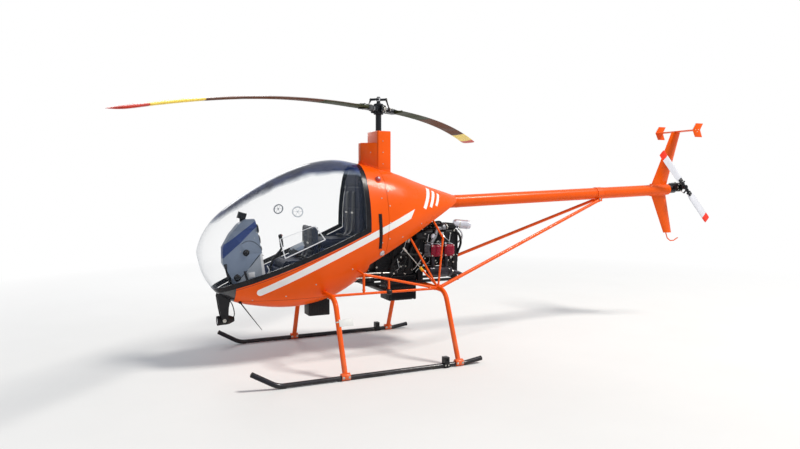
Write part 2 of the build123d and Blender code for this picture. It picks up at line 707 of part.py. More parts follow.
def main_blade(side):
    sections = []
    lead = BLADE_PITCH_AT * BLADE_CHORD
    trail = lead - BLADE_CHORD
    half = BLADE_THICK / 2
    crest = lead - BLADE_CHORD * BLADE_CREST_AT
    for share in BLADE_SHARES:
        radius = BLADE_ROOT + share * (ROTOR_R - BLADE_ROOT)
        outline = Curve() + [ThreePointArc((trail, 0), (crest, half), (lead, 0)),
                             ThreePointArc((lead, 0), (crest, -half), (trail, 0))]
        plane = Plane(origin=(radius, 0, blade_height(radius, side)), x_dir=(0, 1, 0), z_dir=(1, 0, 0))
        sections.append(plane * make_face(outline))
    turn = ROTOR_AZIMUTH if side == 1 else ROTOR_AZIMUTH + 180
    return Rot(0, 0, turn) * loft(sections)


def rotor_hub():
    # teetering block, two grips, and the cross arm with its links above them
    arm_low, arm_high = [HUB_TOP_Z + z for z in ARM_Z]
    hub = Pos(0, 0, HUB_Z) * Cylinder(HUB_R, 2 * HUB_HALF) + rod((0, 0, HUB_Z), (0, 0, HUB_TOP_Z), STUB_R)
    arm_x = ARM_X + ARM_HALF
    hub = hub + block(-arm_x, arm_x, -ARM_MIDDLE_HALF, ARM_MIDDLE_HALF, arm_low, arm_high)
    for side in (1, -1):
        hub = hub + blade_grip(side) + pitch_link(side, arm_low, arm_high)
    return Rot(0, 0, ROTOR_AZIMUTH) * hub


def blade_grip(side):
    inner_end = (side * GRIP_INNER, 0, blade_height(GRIP_INNER, side))
    outer_end = (side * GRIP_OUTER, 0, blade_height(GRIP_OUTER, side))
    cuff = Pos(side * CUFF_AT, 0, blade_height(CUFF_AT, side)) * Box(*CUFF)
    return rod(inner_end, outer_end, GRIP_R) + cuff


def pitch_link(side, arm_low, arm_high):
    # horn on the grip, the link that slants in from it, and its end of the cross arm
    x, top_x, y = side * HORN_X, side * ARM_X, -side * HORN_Y
    low_y, high_y = sorted((0, y))
    horn = block(x - HORN_HALF, x + HORN_HALF, low_y, high_y, HUB_Z + HORN_Z[0], HUB_Z + HORN_Z[1])
    arm = block(top_x - ARM_HALF, top_x + ARM_HALF, low_y, high_y, arm_low, arm_high)
    return horn + arm + rod((x, y, HUB_Z), (top_x, y, (arm_low + arm_high) / 2), LINK_R)


def skid(side):
    y = side * HALF_TRACK
    points = [(SKID_REAR_X, y, SKID_R + SKID_REAR_RISE), (SKID_LEVEL[0], y, SKID_R),
              (SKID_LEVEL[1], y, SKID_R), (SKID_TIP_X, y, SKID_R + SKID_TIP_RISE)]
    return bent_tube(points, SKID_R, SKID_BEND_R)


def cross_tube(x):
    # one bent tube from skid to skid, under the frame, run down into the skids that it is cut to fit
    foot = (HALF_TRACK, SKID_R)
    knee = (LEG_KNEE_Y, LEG_TOP_Z)
    points = [(x, foot[0], foot[1]), (x, knee[0], knee[1]), (x, -knee[0], knee[1]), (x, -foot[0], foot[1])]
    return bent_tube(points, LEG_R, LEG_BEND_R)


def skid_fittings(tubes):
    # collar at each foot and a drilled lug ahead of each rear foot
    parts = []
    for side in (1, -1):
        y = side * HALF_TRACK
        for x in (FRONT_LEG_X, REAR_LEG_X):
            collar = rod((x - COLLAR_L / 2, y, COLLAR_Z), (x + COLLAR_L / 2, y, COLLAR_Z), COLLAR_R)
            parts.append(collar - tubes)
        front_x, rear_x = HANDLING_X + LUG_HALF_L, HANDLING_X - LUG_HALF_L
        lug = block(rear_x, front_x, y - LUG_HALF, y + LUG_HALF, LUG_FOOT_Z, LUG_TOP_Z)
        inner, outer = [(HANDLING_X, y + end, HANDLING_Z) for end in (-LUG_HALF, LUG_HALF)]
        parts.append(lug - tubes - rod(inner, outer, HANDLING_HOLE_R))
    return parts


def frame_side(side, cutters):
    # flat truss at one side: longeron, upper tube and posts
    y = side * FRAME_Y
    node = (REAR_LEG_X, y, FRAME_Z)
    front = (FRONT_LEG_X, y, FRAME_Z)
    top = (UPPER_TUBE_X, y, UPPER_TUBE_Z)
    side_frame = rod(node, front, FRAME_R) + rod(node, top, FRAME_R)
    side_frame = side_frame + rod((UPPER_TUBE_X, y, FRAME_Z), top, FRAME_R) + Pos(*top) * Sphere(FRAME_R)
    slope = (UPPER_TUBE_Z - FRAME_Z) / (UPPER_TUBE_X - REAR_LEG_X)
    post_top = FRAME_Z + slope * (POST_X - REAR_LEG_X)
    side_frame = side_frame + rod((POST_X, y, FRAME_Z), (POST_X, y, post_top), DIAGONAL_R)
    ahead, out, up = BRACKET_END
    bracket = rod(top, (UPPER_TUBE_X + ahead, side * out, UPPER_TUBE_Z + up), DIAGONAL_R)
    return side_frame + bracket - cutters


def diagonals(side, cutters):
    # two struts that spread from the rear node up into the cowl
    node = (REAR_LEG_X, side * FRAME_Y, FRAME_Z)
    spread = (SPREAD[0], side * SPREAD[1], SPREAD[2])
    boom_root = (SPREAD_TOP[0], side * SPREAD_TOP[1], boom_z(SPREAD_TOP[0]))
    plate = (BRACE_TOP[0], side * BRACE_TOP[1], PLATE_Z + PLATE_T / 2)
    parts = Pos(*spread) * Sphere(DIAGONAL_R)
    for start, end in ((node, spread), (spread, boom_root), (node, plate)):
        parts = parts + rod(start, end, DIAGONAL_R)
    return parts - cutters


def tail_strut(side, cutters):
    node = (REAR_LEG_X, side * FRAME_Y, FRAME_Z)
    rear = (STRUT_REAR_X, side * STRUT_REAR_Y, boom_z(STRUT_REAR_X) - BOOM_R - STRUT_R / 2)
    return rod(node, rear, STRUT_R) - cutters


def bearers():
    # cross bar and the two rails that carry the engine, radiator and battery
    parts = rod((POST_X, -FRAME_Y, FRAME_Z), (POST_X, FRAME_Y, FRAME_Z), BAR_R)
    for side in (1, -1):
        y = side * RAIL_Y
        parts = parts + block(RAIL_REAR_X, RAIL_FRONT_X, y - RAIL_HALF, y + RAIL_HALF, RAIL_Z, RAIL_TOP)
    return parts


def engine_block():
    body = block(ENGINE_REAR_X, ENGINE_FRONT_X, -ENGINE_HALF, ENGINE_HALF, ENGINE_FOOT_Z, ENGINE_TOP_Z)
    body = fillet(body.edges().filter_by(Axis.X), ROUND)
    for x in CYLINDER_X:
        body = body + rod((x, -COVER_Y, CYLINDER_Z), (x, COVER_Y, CYLINDER_Z), CYLINDER_R)
    foot, half, reach = RAIL_TOP + PANEL_GAP, ENGINE_MOUNT_HALF, RAIL_Y + RAIL_HALF
    for x in ENGINE_MOUNT_X:
        body = body + block(x - half, x + half, -reach, reach, foot, ENGINE_FOOT_Z + half)
    return body


def cylinder_covers():
    parts = []
    for x in CYLINDER_X:
        for side in (1, -1):
            y = side * (COVER_Y + COVER_BOX[1] / 2 + PANEL_GAP)
            cover = Pos(x, y, CYLINDER_Z) * Box(*COVER_BOX)
            parts.append(fillet(cover.edges().filter_by(Axis.Y), SMALL_ROUND))
    return parts


def air_intake():
    box = block(*INTAKE_X, -INTAKE_HALF, INTAKE_HALF, ENGINE_TOP_Z + PANEL_GAP, INTAKE_TOP_Z)
    return fillet(box.edges().filter_by(Axis.Z), SMALL_ROUND) + rod(*INTAKE_CAN, INTAKE_CAN_R)


def exhaust():
    # silencer beside the engine, hung from the front cylinder by its down pipe
    x, y, z = CYLINDER_X[0], EXHAUST_Y, EXHAUST_Z
    silencer = rod((SILENCER_X[0], y, z), (SILENCER_X[1], y, z - SILENCER_DROP), EXHAUST_R)
    down = rod((x, y, CYLINDER_Z - CYLINDER_R - PANEL_GAP), (x, y, z), EXHAUST_PIPE_R)
    tail = rod((TAIL_PIPE_X, y, z - SILENCER_DROP), TAIL_PIPE_END, EXHAUST_PIPE_R)
    return silencer + down + tail


def radiator():
    # between the rails, under the belt housing
    half = RAIL_Y - RAIL_HALF - PANEL_GAP
    return block(*RADIATOR_X, -half, half, RADIATOR_FOOT_Z, HOUSING_Z)


def belt_housing():
    body = block(ENGINE_FRONT_X + PANEL_GAP, HOUSING_REACH_X, -HOUSING_HALF, HOUSING_HALF,
                 HOUSING_Z + PANEL_GAP, ENGINE_TOP_Z)
    return fillet(body.edges().filter_by(Axis.Y), ROUND)


def battery_box():
    return block(*BATTERY_X, -RAIL_Y, RAIL_Y, RAIL_TOP + PANEL_GAP, BATTERY_TOP_Z)


def main_gearbox():
    # housing with its mounting plate, and the bore that the mast turns in
    foot = ENGINE_TOP_Z + PANEL_GAP
    bearing_r, bearing_top = NOSE_BEARING
    body = rod((0, 0, foot), (0, 0, GEARBOX_TOP_Z), GEARBOX_R)
    body = body + rod((0, 0, PLATE_Z), (0, 0, bearing_top), bearing_r)
    plate = block(*PLATE_X, -PLATE_HALF, PLATE_HALF, PLATE_Z, PLATE_Z + PLATE_T)
    return body + plate - rod((0, 0, MAST_FOOT_Z - SHAFT_CLEAR), (0, 0, bearing_top), MAST_R + SHAFT_CLEAR)


def rotor_mast():
    return rod((0, 0, MAST_FOOT_Z), (0, 0, HUB_Z - HUB_HALF), MAST_R)


def position_lights(pod):
    # a dome on each shoulder of the cabin ring
    x, y, z = LIGHT_AT
    return [Pos(x, side * y, z) * Sphere(LIGHT_R) - pod for side in (1, -1)]


def landing_light(pod):
    # lamp on a two-armed bracket under the nose
    (x0, z0), (x1, z1) = LAMP_ARM
    inner_y, outer_y = LAMP_ARM_Y
    bracket = block(x0, x1, -outer_y, -inner_y, z0, z1) + block(x0, x1, inner_y, outer_y, z0, z1)
    pin_x, pin_z, pin_r = LAMP_PIN
    lamp = rod(*upright(LAMP_LINE), LAMP_R) + rod((pin_x, -outer_y, pin_z), (pin_x, outer_y, pin_z), pin_r)
    return (bracket + lamp) - pod


def belly_box(pod):
    (x0, z0), (x1, z1) = BELLY_BOX
    return fillet(block(x0, x1, -BELLY_HALF, BELLY_HALF, z0, z1).edges().filter_by(Axis.Z), SMALL_ROUND) - pod


def save_pod(pod):
    shell = pod - pod_solid(POD_WALL)
    save("cabin_shell", cabin_shell(shell))
    save("nose_cap", nose_cap(shell))
    save("rear_cowl", rear_cowl(shell))
    save("canopy_frame", canopy_frame(shell) + canopy_eyes(pod))
    save("canopy_glass", canopy_glass(pod))
    save("canopy_pins", Compound(children=canopy_pins(pod)))
    save("mast_fairing", mast_fairing(pod))
    save("position_lights", Compound(children=position_lights(pod)))
    save("landing_light", landing_light(pod))
    save("belly_box", belly_box(pod))


def save_cabin():
    inner = pod_solid(POD_WALL + JOINT_GAP)
    save("firewall", firewall(inner))
    save("cabin_floor", cabin_floor(inner))
    save("seat_box", seat_box(inner))
    for name, x0, x1, half, seat_z, top_z, soft in CUSHIONS:
        save(name, cushion(x0, x1, half, seat_z + PANEL_GAP, top_z, soft))
    save("rear_backrest", rear_backrest())
    console = instrument_console()
    save("instrument_console", console)
    save("compass", compass() - console)
    save("cyclic_stick", cyclic_stick())
    save("collective_lever", collective_lever())
    save("pedals", Compound(children=pedals()))


def save_landing_gear():
    # the tubes are returned, for what is cut to fit them
    skids = {"port": skid(1), "starboard": skid(-1)}
    both = skids["port"] + skids["starboard"]
    front_tube, rear_tube = [cross_tube(x) - both for x in (FRONT_LEG_X, REAR_LEG_X)]
    tubes = front_tube + rear_tube + both
    save("front_cross_tube", front_tube)
    save("rear_cross_tube", rear_tube)
    for name, tube in skids.items():
        save("skid_" + name, tube)
    save("skid_fittings", Compound(children=skid_fittings(tubes)))
    return tubes


def save_frame(pod, tubes, gearbox):
    rails = bearers()
    boom = boom_rod(BOOM_R)
    collar = boom_collar()
    braces = []
    for name, side in (("port", 1), ("starboard", -1)):
        truss = frame_side(side, tubes + rails + pod)
        brace = diagonals(side, tubes + truss + boom + gearbox)
        braces.append(brace)
        save("frame_" + name, truss)
        save("tail_strut_" + name, tail_strut(side, tubes + truss + brace + boom + collar))
    save("frame_diagonals", Compound(children=braces))
    save("engine_bearers", rails)
    save("boom_collar", collar)


def save_power_plant(gearbox):
    save("engine_block", engine_block())
    save("cylinder_covers", Compound(children=cylinder_covers()))
    save("air_intake", air_intake())
    save("exhaust", exhaust())
    save("radiator", radiator())
    save("belt_housing", belt_housing())
    save("battery_box", battery_box())
    save("main_gearbox", gearbox)


def save_tail():
    save("tail_boom", tail_boom())
    gearbox = tail_gearbox()
    boom_and_cap = boom_rod(BOOM_R, rear=boom_point(BOOM_REAR[0] - CAP_L))
    upper_fin, lower_fin = [fin(stations, boom_and_cap + gearbox) for stations in (UPPER_FIN, LOWER_FIN)]
    save("upper_fin", upper_fin)
    save("lower_fin", lower_fin)
    save("stabiliser", stabiliser() - upper_fin)
    save("tail_skid", tail_skid() - lower_fin)
    save("tail_gearbox", gearbox)


def save_rotors():
    hub = rotor_hub()
    save("rotor_mast", rotor_mast())
    save("rotor_hub", hub)
    save("blade_port", main_blade(1) - hub)
    save("blade_starboard", main_blade(-1) - hub)
    small_hub = tail_hub()
    save("tail_hub", small_hub)
    save("tail_blades", Compound(children=tail_blades(small_hub)))


def main():
    pod = pod_solid(0)
    gearbox = main_gearbox()
    save_pod(pod)
    save_cabin()
    tubes = save_landing_gear()
    save_frame(pod, tubes, gearbox)
    save_power_plant(gearbox)
    save_tail()
    save_rotors()


main()
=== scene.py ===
import random
from math import atan2, cos, hypot, pi, radians, sin, sqrt, tan

import bmesh
import bpy
import numpy as np
from mathutils import Matrix, Vector


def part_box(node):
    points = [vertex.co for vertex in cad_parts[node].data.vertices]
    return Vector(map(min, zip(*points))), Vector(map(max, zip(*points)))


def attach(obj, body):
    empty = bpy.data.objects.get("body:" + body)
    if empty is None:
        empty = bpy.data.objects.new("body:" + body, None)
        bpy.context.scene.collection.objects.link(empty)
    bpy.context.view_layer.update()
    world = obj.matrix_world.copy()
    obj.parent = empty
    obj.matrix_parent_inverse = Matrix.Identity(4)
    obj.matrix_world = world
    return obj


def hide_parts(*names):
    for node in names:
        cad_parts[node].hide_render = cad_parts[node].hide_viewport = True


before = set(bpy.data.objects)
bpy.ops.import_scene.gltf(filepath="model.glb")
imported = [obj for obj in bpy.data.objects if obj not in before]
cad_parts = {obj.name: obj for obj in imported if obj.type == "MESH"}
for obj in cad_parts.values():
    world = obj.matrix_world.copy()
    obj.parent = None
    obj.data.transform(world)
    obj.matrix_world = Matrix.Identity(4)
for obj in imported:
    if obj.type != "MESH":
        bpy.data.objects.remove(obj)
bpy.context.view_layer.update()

bl_info = {
    "name": "Light helicopter",
    "version": (1, 0, 0),
    "blender": (4, 5, 0),
    "location": "View3D > Sidebar > Helicopter",
    "description": "Dresses the packed solids of a light helicopter with paint, cabin, engine and rotors",
    "category": "Add Mesh",
}

# Lengths are in metres. Pieces are built about the rotor mast, nose to +X and port to +Y,
# and moved to the frame's own origin as they are finished.
MAST_LOW, MAST_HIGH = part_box("rotor_mast")
MAST_X = (MAST_LOW.x + MAST_HIGH.x) / 2
IMAGE = (800, 449)

# pod stations: x, half width, top z, height of the widest line, bottom z
POD = [
    (1.585, 0.036, 1.016, 0.965, 0.914), (1.55, 0.112, 1.106, 0.955, 0.79),
    (1.48, 0.182, 1.212, 0.955, 0.672), (1.35, 0.252, 1.332, 0.96, 0.566),
    (1.1, 0.326, 1.505, 0.98, 0.497), (0.8, 0.362, 1.652, 1.03, 0.472),
    (0.45, 0.374, 1.731, 1.12, 0.545), (0.2, 0.368, 1.697, 1.16, 0.69),
    (-0.1, 0.34, 1.631, 1.215, 0.86), (-0.4, 0.255, 1.528, 1.28, 1.04),
    (-0.65, 0.16, 1.452, 1.325, 1.2), (-0.747, 0.105, 1.422, 1.33, 1.25),
]
SIDE_TURN = radians(30)     # turn of a section's side arc
SIDE_STEPS, CROWN_STEPS = 4, 9
SILL = [(1.65, 0.572), (0.832, 0.855), (0.1, 1.17)]
ARCH_X = 0.22
SEAM_X = 0.05
SEAM_HALF = 0.0015
NOSE_X = 1.315
NOSE_GAP = 0.001
RED_LINE = (0.01, 0.015)     # depths below the sill
KEEL_HALF = 0.03
COWL_EDGE = [(0.2, 0.823), (-0.56, 1.25)]
SEAL_GAP = 0.005
SHELL_WALL = 0.01
SHEET_WALL = 0.004
# plan of the mast fairing's two steps and its flange, one half each, and the heights of the steps
FAIRING = [([(0.184, 0.028), (0.061, 0.1165)], 1.885), ([(0.061, 0.1165), (0.05, 0.124), (-0.078, 0.1)],
    1.99)]
OUTER_FLANGE = [(0.204, 0.0), (0.2, 0.034), (0.06, 0.139), (-0.086, 0.113), (-0.092, 0.0)]
INNER_FLANGE = [(0.18, 0.0), (0.18, 0.026), (0.052, 0.121), (-0.074, 0.098), (-0.076, 0.0)]
HINGE_X = (0.4, 0.84)
HINGE_Y = -0.392
VENT = (0.839, 1.296)
WINDOW = [(0.993, 1.08), (0.952, 0.926), (0.626, 1.067), (0.71, 1.182)]   # corners in side view
CONSOLE_LINE = [(1.283, 0.719), (1.0996, 0.945)]
HANDLING_X = -0.29
LEG_X = (0.59, -0.414)
CYLINDER_X = (-0.45, -0.586)
CYLINDER_Z = 0.923
BOOM_FRONT = (-0.43, 1.343)
BOOM_REAR = (-3.5, 1.465)
BOOM_R = 0.06
HALF_TRACK = 0.752
HUB_Z = 2.19
HUB_TOP_Z = 2.3
ROTOR_R = 3.09
ROTOR_TEETER = radians(2.0)
BLADE_DROOP = 0.22             # of the tip at rest
BLADE_CHORD, BLADE_THICK, BLADE_LEAD = 0.18, 0.0195, 0.054
BLADE_ROUND = 3.02             # radius where the tip starts to narrow
ROTOR_TURN = radians(45)
TAIL_HUB = (-3.62, 0.16, 1.492)
TAIL_TURN = radians(46)


class HelicopterSizes(bpy.types.PropertyGroup):
    """Sizes that a user may change before building."""
    rail: bpy.props.FloatProperty(
        name="Canopy rail", description="Height of the bubble's black frame", default=0.038, unit="LENGTH")
    pod_rings: bpy.props.IntProperty(
        name="Pod rings", description="How many sections the pod is drawn with", default=96, min=24)
    blade_band: bpy.props.FloatProperty(
        name="Blade band", description="Radius where the yellow band starts", default=2.51, unit="LENGTH")
    blade_tip: bpy.props.FloatProperty(
        name="Blade tip", description="Radius where a blade's red tip starts", default=2.93, unit="LENGTH")
    puff: bpy.props.FloatProperty(
        name="Cushion puff", description="Most that a cushion may swell", default=0.012, unit="LENGTH")


class HelicopterColours(bpy.types.PropertyGroup):
    """Colours that a user may change before building."""
    paint: bpy.props.FloatVectorProperty(
        name="Paint", description="Body paint", subtype="COLOR", size=3, default=(0.82, 0.098, 0.003))
    stripe: bpy.props.FloatVectorProperty(
        name="Stripe", description="Stripe and mark", subtype="COLOR", size=3, default=(0.82, 0.82, 0.8))
    trim: bpy.props.FloatVectorProperty(
        name="Trim", description="Trim and seats", subtype="COLOR", size=3, default=(0.016, 0.024, 0.062))
    console: bpy.props.FloatVectorProperty(
        name="Console", description="Instrument console", subtype="COLOR", size=3, default=(0.2, 0.25, 0.34))
    floor: bpy.props.FloatVectorProperty(
        name="Floor", description="Studio floor", subtype="COLOR", size=3, default=(0.8, 0.8, 0.79))


def sizes():
    return bpy.context.scene.helicopter_sizes


def colours():
    return bpy.context.scene.helicopter_colours


# node and finish helpers

def add(tree, kind, sockets=None, **settings):
    # a node with its settings and the plain values of its sockets
    made = tree.nodes.new(kind)
    for key, value in settings.items():
        setattr(made, key, value)
    for key, value in (sockets or {}).items():
        made.inputs[key].default_value = value
    return made


def wire(tree, source, target, name):
    tree.links.new(source, target.inputs[name])


def shade(colour, factor):
    return tuple(min(1.0, c * factor) for c in colour[:3]) + (1.0,)


def blank(name):
    made = bpy.data.materials.new(name)
    made.use_nodes = True
    tree = made.node_tree
    return made, tree, tree.nodes["Principled BSDF"], add(tree, "ShaderNodeTexCoord").outputs["Object"]


def noise(tree, place, scale, detail=4.0, stretch=None):
    if stretch:
        mapping = add(tree, "ShaderNodeMapping", {"Scale": stretch})
        wire(tree, place, mapping, "Vector")
        place = mapping.outputs["Vector"]
    made = add(tree, "ShaderNodeTexNoise", {"Scale": scale, "Detail": detail, "Roughness": 0.6})
    wire(tree, place, made, "Vector")
    return made.outputs["Fac"]


def ramp(tree, value, low, high, start=0.0, end=1.0):
    made = add(tree, "ShaderNodeMapRange", {"From Min": low, "From Max": high, "To Min": start,
        "To Max": end}, clamp=True)
    wire(tree, value, made, "Value")
    return made.outputs["Result"]


def times(tree, a, b, operation="MULTIPLY"):
    made = add(tree, "ShaderNodeMath", operation=operation)
    for slot, value in enumerate((a, b)):
        if isinstance(value, (int, float)):
            made.inputs[slot].default_value = value
        else:
            tree.links.new(value, made.inputs[slot])
    return made.outputs[0]


def mixed(tree, share, a, b):
    # a colour mix, where a and b are colours or sockets
    made = add(tree, "ShaderNodeMix", data_type="RGBA")
    tree.links.new(share, made.inputs[0])
    for slot, value in ((6, a), (7, b)):
        if isinstance(value, (tuple, list)):
            made.inputs[slot].default_value = value
        else:
            tree.links.new(value, made.inputs[slot])
    return made.outputs[2]


def bumps(tree, shader, layers):
    # stacked bumps: (height socket, strength, distance)
    normal = None
    for height, strength, distance in layers:
        made = add(tree, "ShaderNodeBump", {"Strength": strength, "Distance": distance})
        wire(tree, height, made, "Height")
        if normal:
            wire(tree, normal, made, "Normal")
        normal = made.outputs["Normal"]
    wire(tree, normal, shader, "Normal")


DUST = (0.42, 0.35, 0.25, 1.0)


def surface(name, colour, rough, metal=0.0, coat=0.0, mottle=0.08, patch=6.0, grain=300.0, bump=0.1,
        depth=0.0004, dust=0.0, dust_top=0.5, worn=None, worn_at=0.62, speckle=0.0, stretch=None, gloss=0.16):
    # a finish with uneven tone, fine relief, dust that thickens downwards, and worn spots
    made, tree, shader, place = blank(name)
    broad = noise(tree, place, patch, 5.0)
    fine = noise(tree, place, grain, 3.0, stretch)
    tone = mixed(tree, ramp(tree, broad, 0.3, 0.7), shade(colour, 1 - mottle), shade(colour, 1 + mottle))
    if speckle:
        tone = mixed(tree, ramp(tree, fine, 0.55, 0.75, 0.0, speckle), tone, shade(colour, 0.35))
    if worn:
        spots = ramp(tree, noise(tree, place, 38.0, 8.0), worn_at, worn_at + 0.04)
        tone = mixed(tree, spots, tone, worn)
    if dust:
        split = add(tree, "ShaderNodeSeparateXYZ")
        wire(tree, place, split, "Vector")
        fall = ramp(tree, split.outputs["Z"], 0.0, dust_top, 1.0, 0.0)
        film = times(tree, times(tree, fall, ramp(tree, noise(tree, place, 14.0, 7.0), 0.35, 0.65)), dust)
        tone = mixed(tree, film, tone, DUST)
    wire(tree, tone, shader, "Base Color")
    wire(tree, ramp(tree, broad, 0.3, 0.75, rough * 0.8, min(1.0, rough * 1.3 + 0.02)), shader, "Roughness")
    plain = {"Metallic": metal, "Specular IOR Level": gloss, "Coat Weight": coat, "Coat Roughness": 0.08}
    for key, value in plain.items():
        shader.inputs[key].default_value = value
    bumps(tree, shader, [(fine, bump, depth)])
    return made


def woven(name, light, dark, pitch, rough, coat=0.0):
    # twill: two crossed sets of slanted bands
    made, tree, shader, place = blank(name)
    sets = []
    for turn in (0.7854, -0.7854):
        mapping = add(tree, "ShaderNodeMapping", {"Rotation": (0.3, turn, 0.2)})
        wire(tree, place, mapping, "Vector")
        wave = add(tree, "ShaderNodeTexWave", {"Scale": 0.314 / pitch, "Distortion": 0.0},
            bands_direction="X")
        wire(tree, mapping.outputs["Vector"], wave, "Vector")
        sets.append(wave.outputs["Fac"])
    cross = times(tree, sets[0], sets[1])
    wire(tree, mixed(tree, ramp(tree, cross, 0.1, 0.7), shade(dark, 1), shade(light, 1)), shader,
        "Base Color")
    wire(tree, ramp(tree, noise(tree, place, 9.0), 0.3, 0.7, rough * 0.8, rough * 1.25), shader, "Roughness")
    shader.inputs["Coat Weight"].default_value = coat
    bumps(tree, shader, [(cross, 0.25, 0.0004)])
    return made


def clear_sheet(name, tint, thin, edge, sky=None):
    # clear acrylic: see-through face on, denser where it turns away, and a painted reflection of a dark sky
    # on its upper faces
    made, tree, shader, place = blank(name)
    facing = add(tree, "ShaderNodeLayerWeight", {"Blend": 0.22}).outputs["Facing"]
    rise = ramp(tree, times(tree, facing, facing), 0.0, 0.8, thin, edge)
    tint = shade(tint, 1)
    # painted reflection of the sky: faces that look upwards take the dark sky colour, in lighter and darker
    # patches, and turn denser
    if sky:
        split = add(tree, "ShaderNodeSeparateXYZ")
        wire(tree, add(tree, "ShaderNodeTexCoord").outputs["Normal"], split, "Vector")
        sky_reflection_wobble = times(tree, noise(tree, place, 2.6, 3.0, (1.0, 2.0, 1.0)), 0.3)
        upper = ramp(tree, times(tree, split.outputs["Z"], sky_reflection_wobble, "ADD"), 0.74, 0.88)
        tone = mixed(tree, ramp(tree, noise(tree, place, 5.0, 2.0), 0.45, 0.6), shade(sky, 1),
            shade(sky, 2.6))
        wire(tree, mixed(tree, upper, tint, tone), shader, "Base Color")
        rise = times(tree, rise, times(tree, upper, 0.74), "ADD")
    else:
        shader.inputs["Base Color"].default_value = tint
    wire(tree, rise, shader, "Alpha")
    wire(tree, ramp(tree, noise(tree, place, 5.0, 6.0), 0.35, 0.7, 0.02, 0.06), shader, "Roughness")
    shader.inputs["Specular IOR Level"].default_value = 0.18
    return made


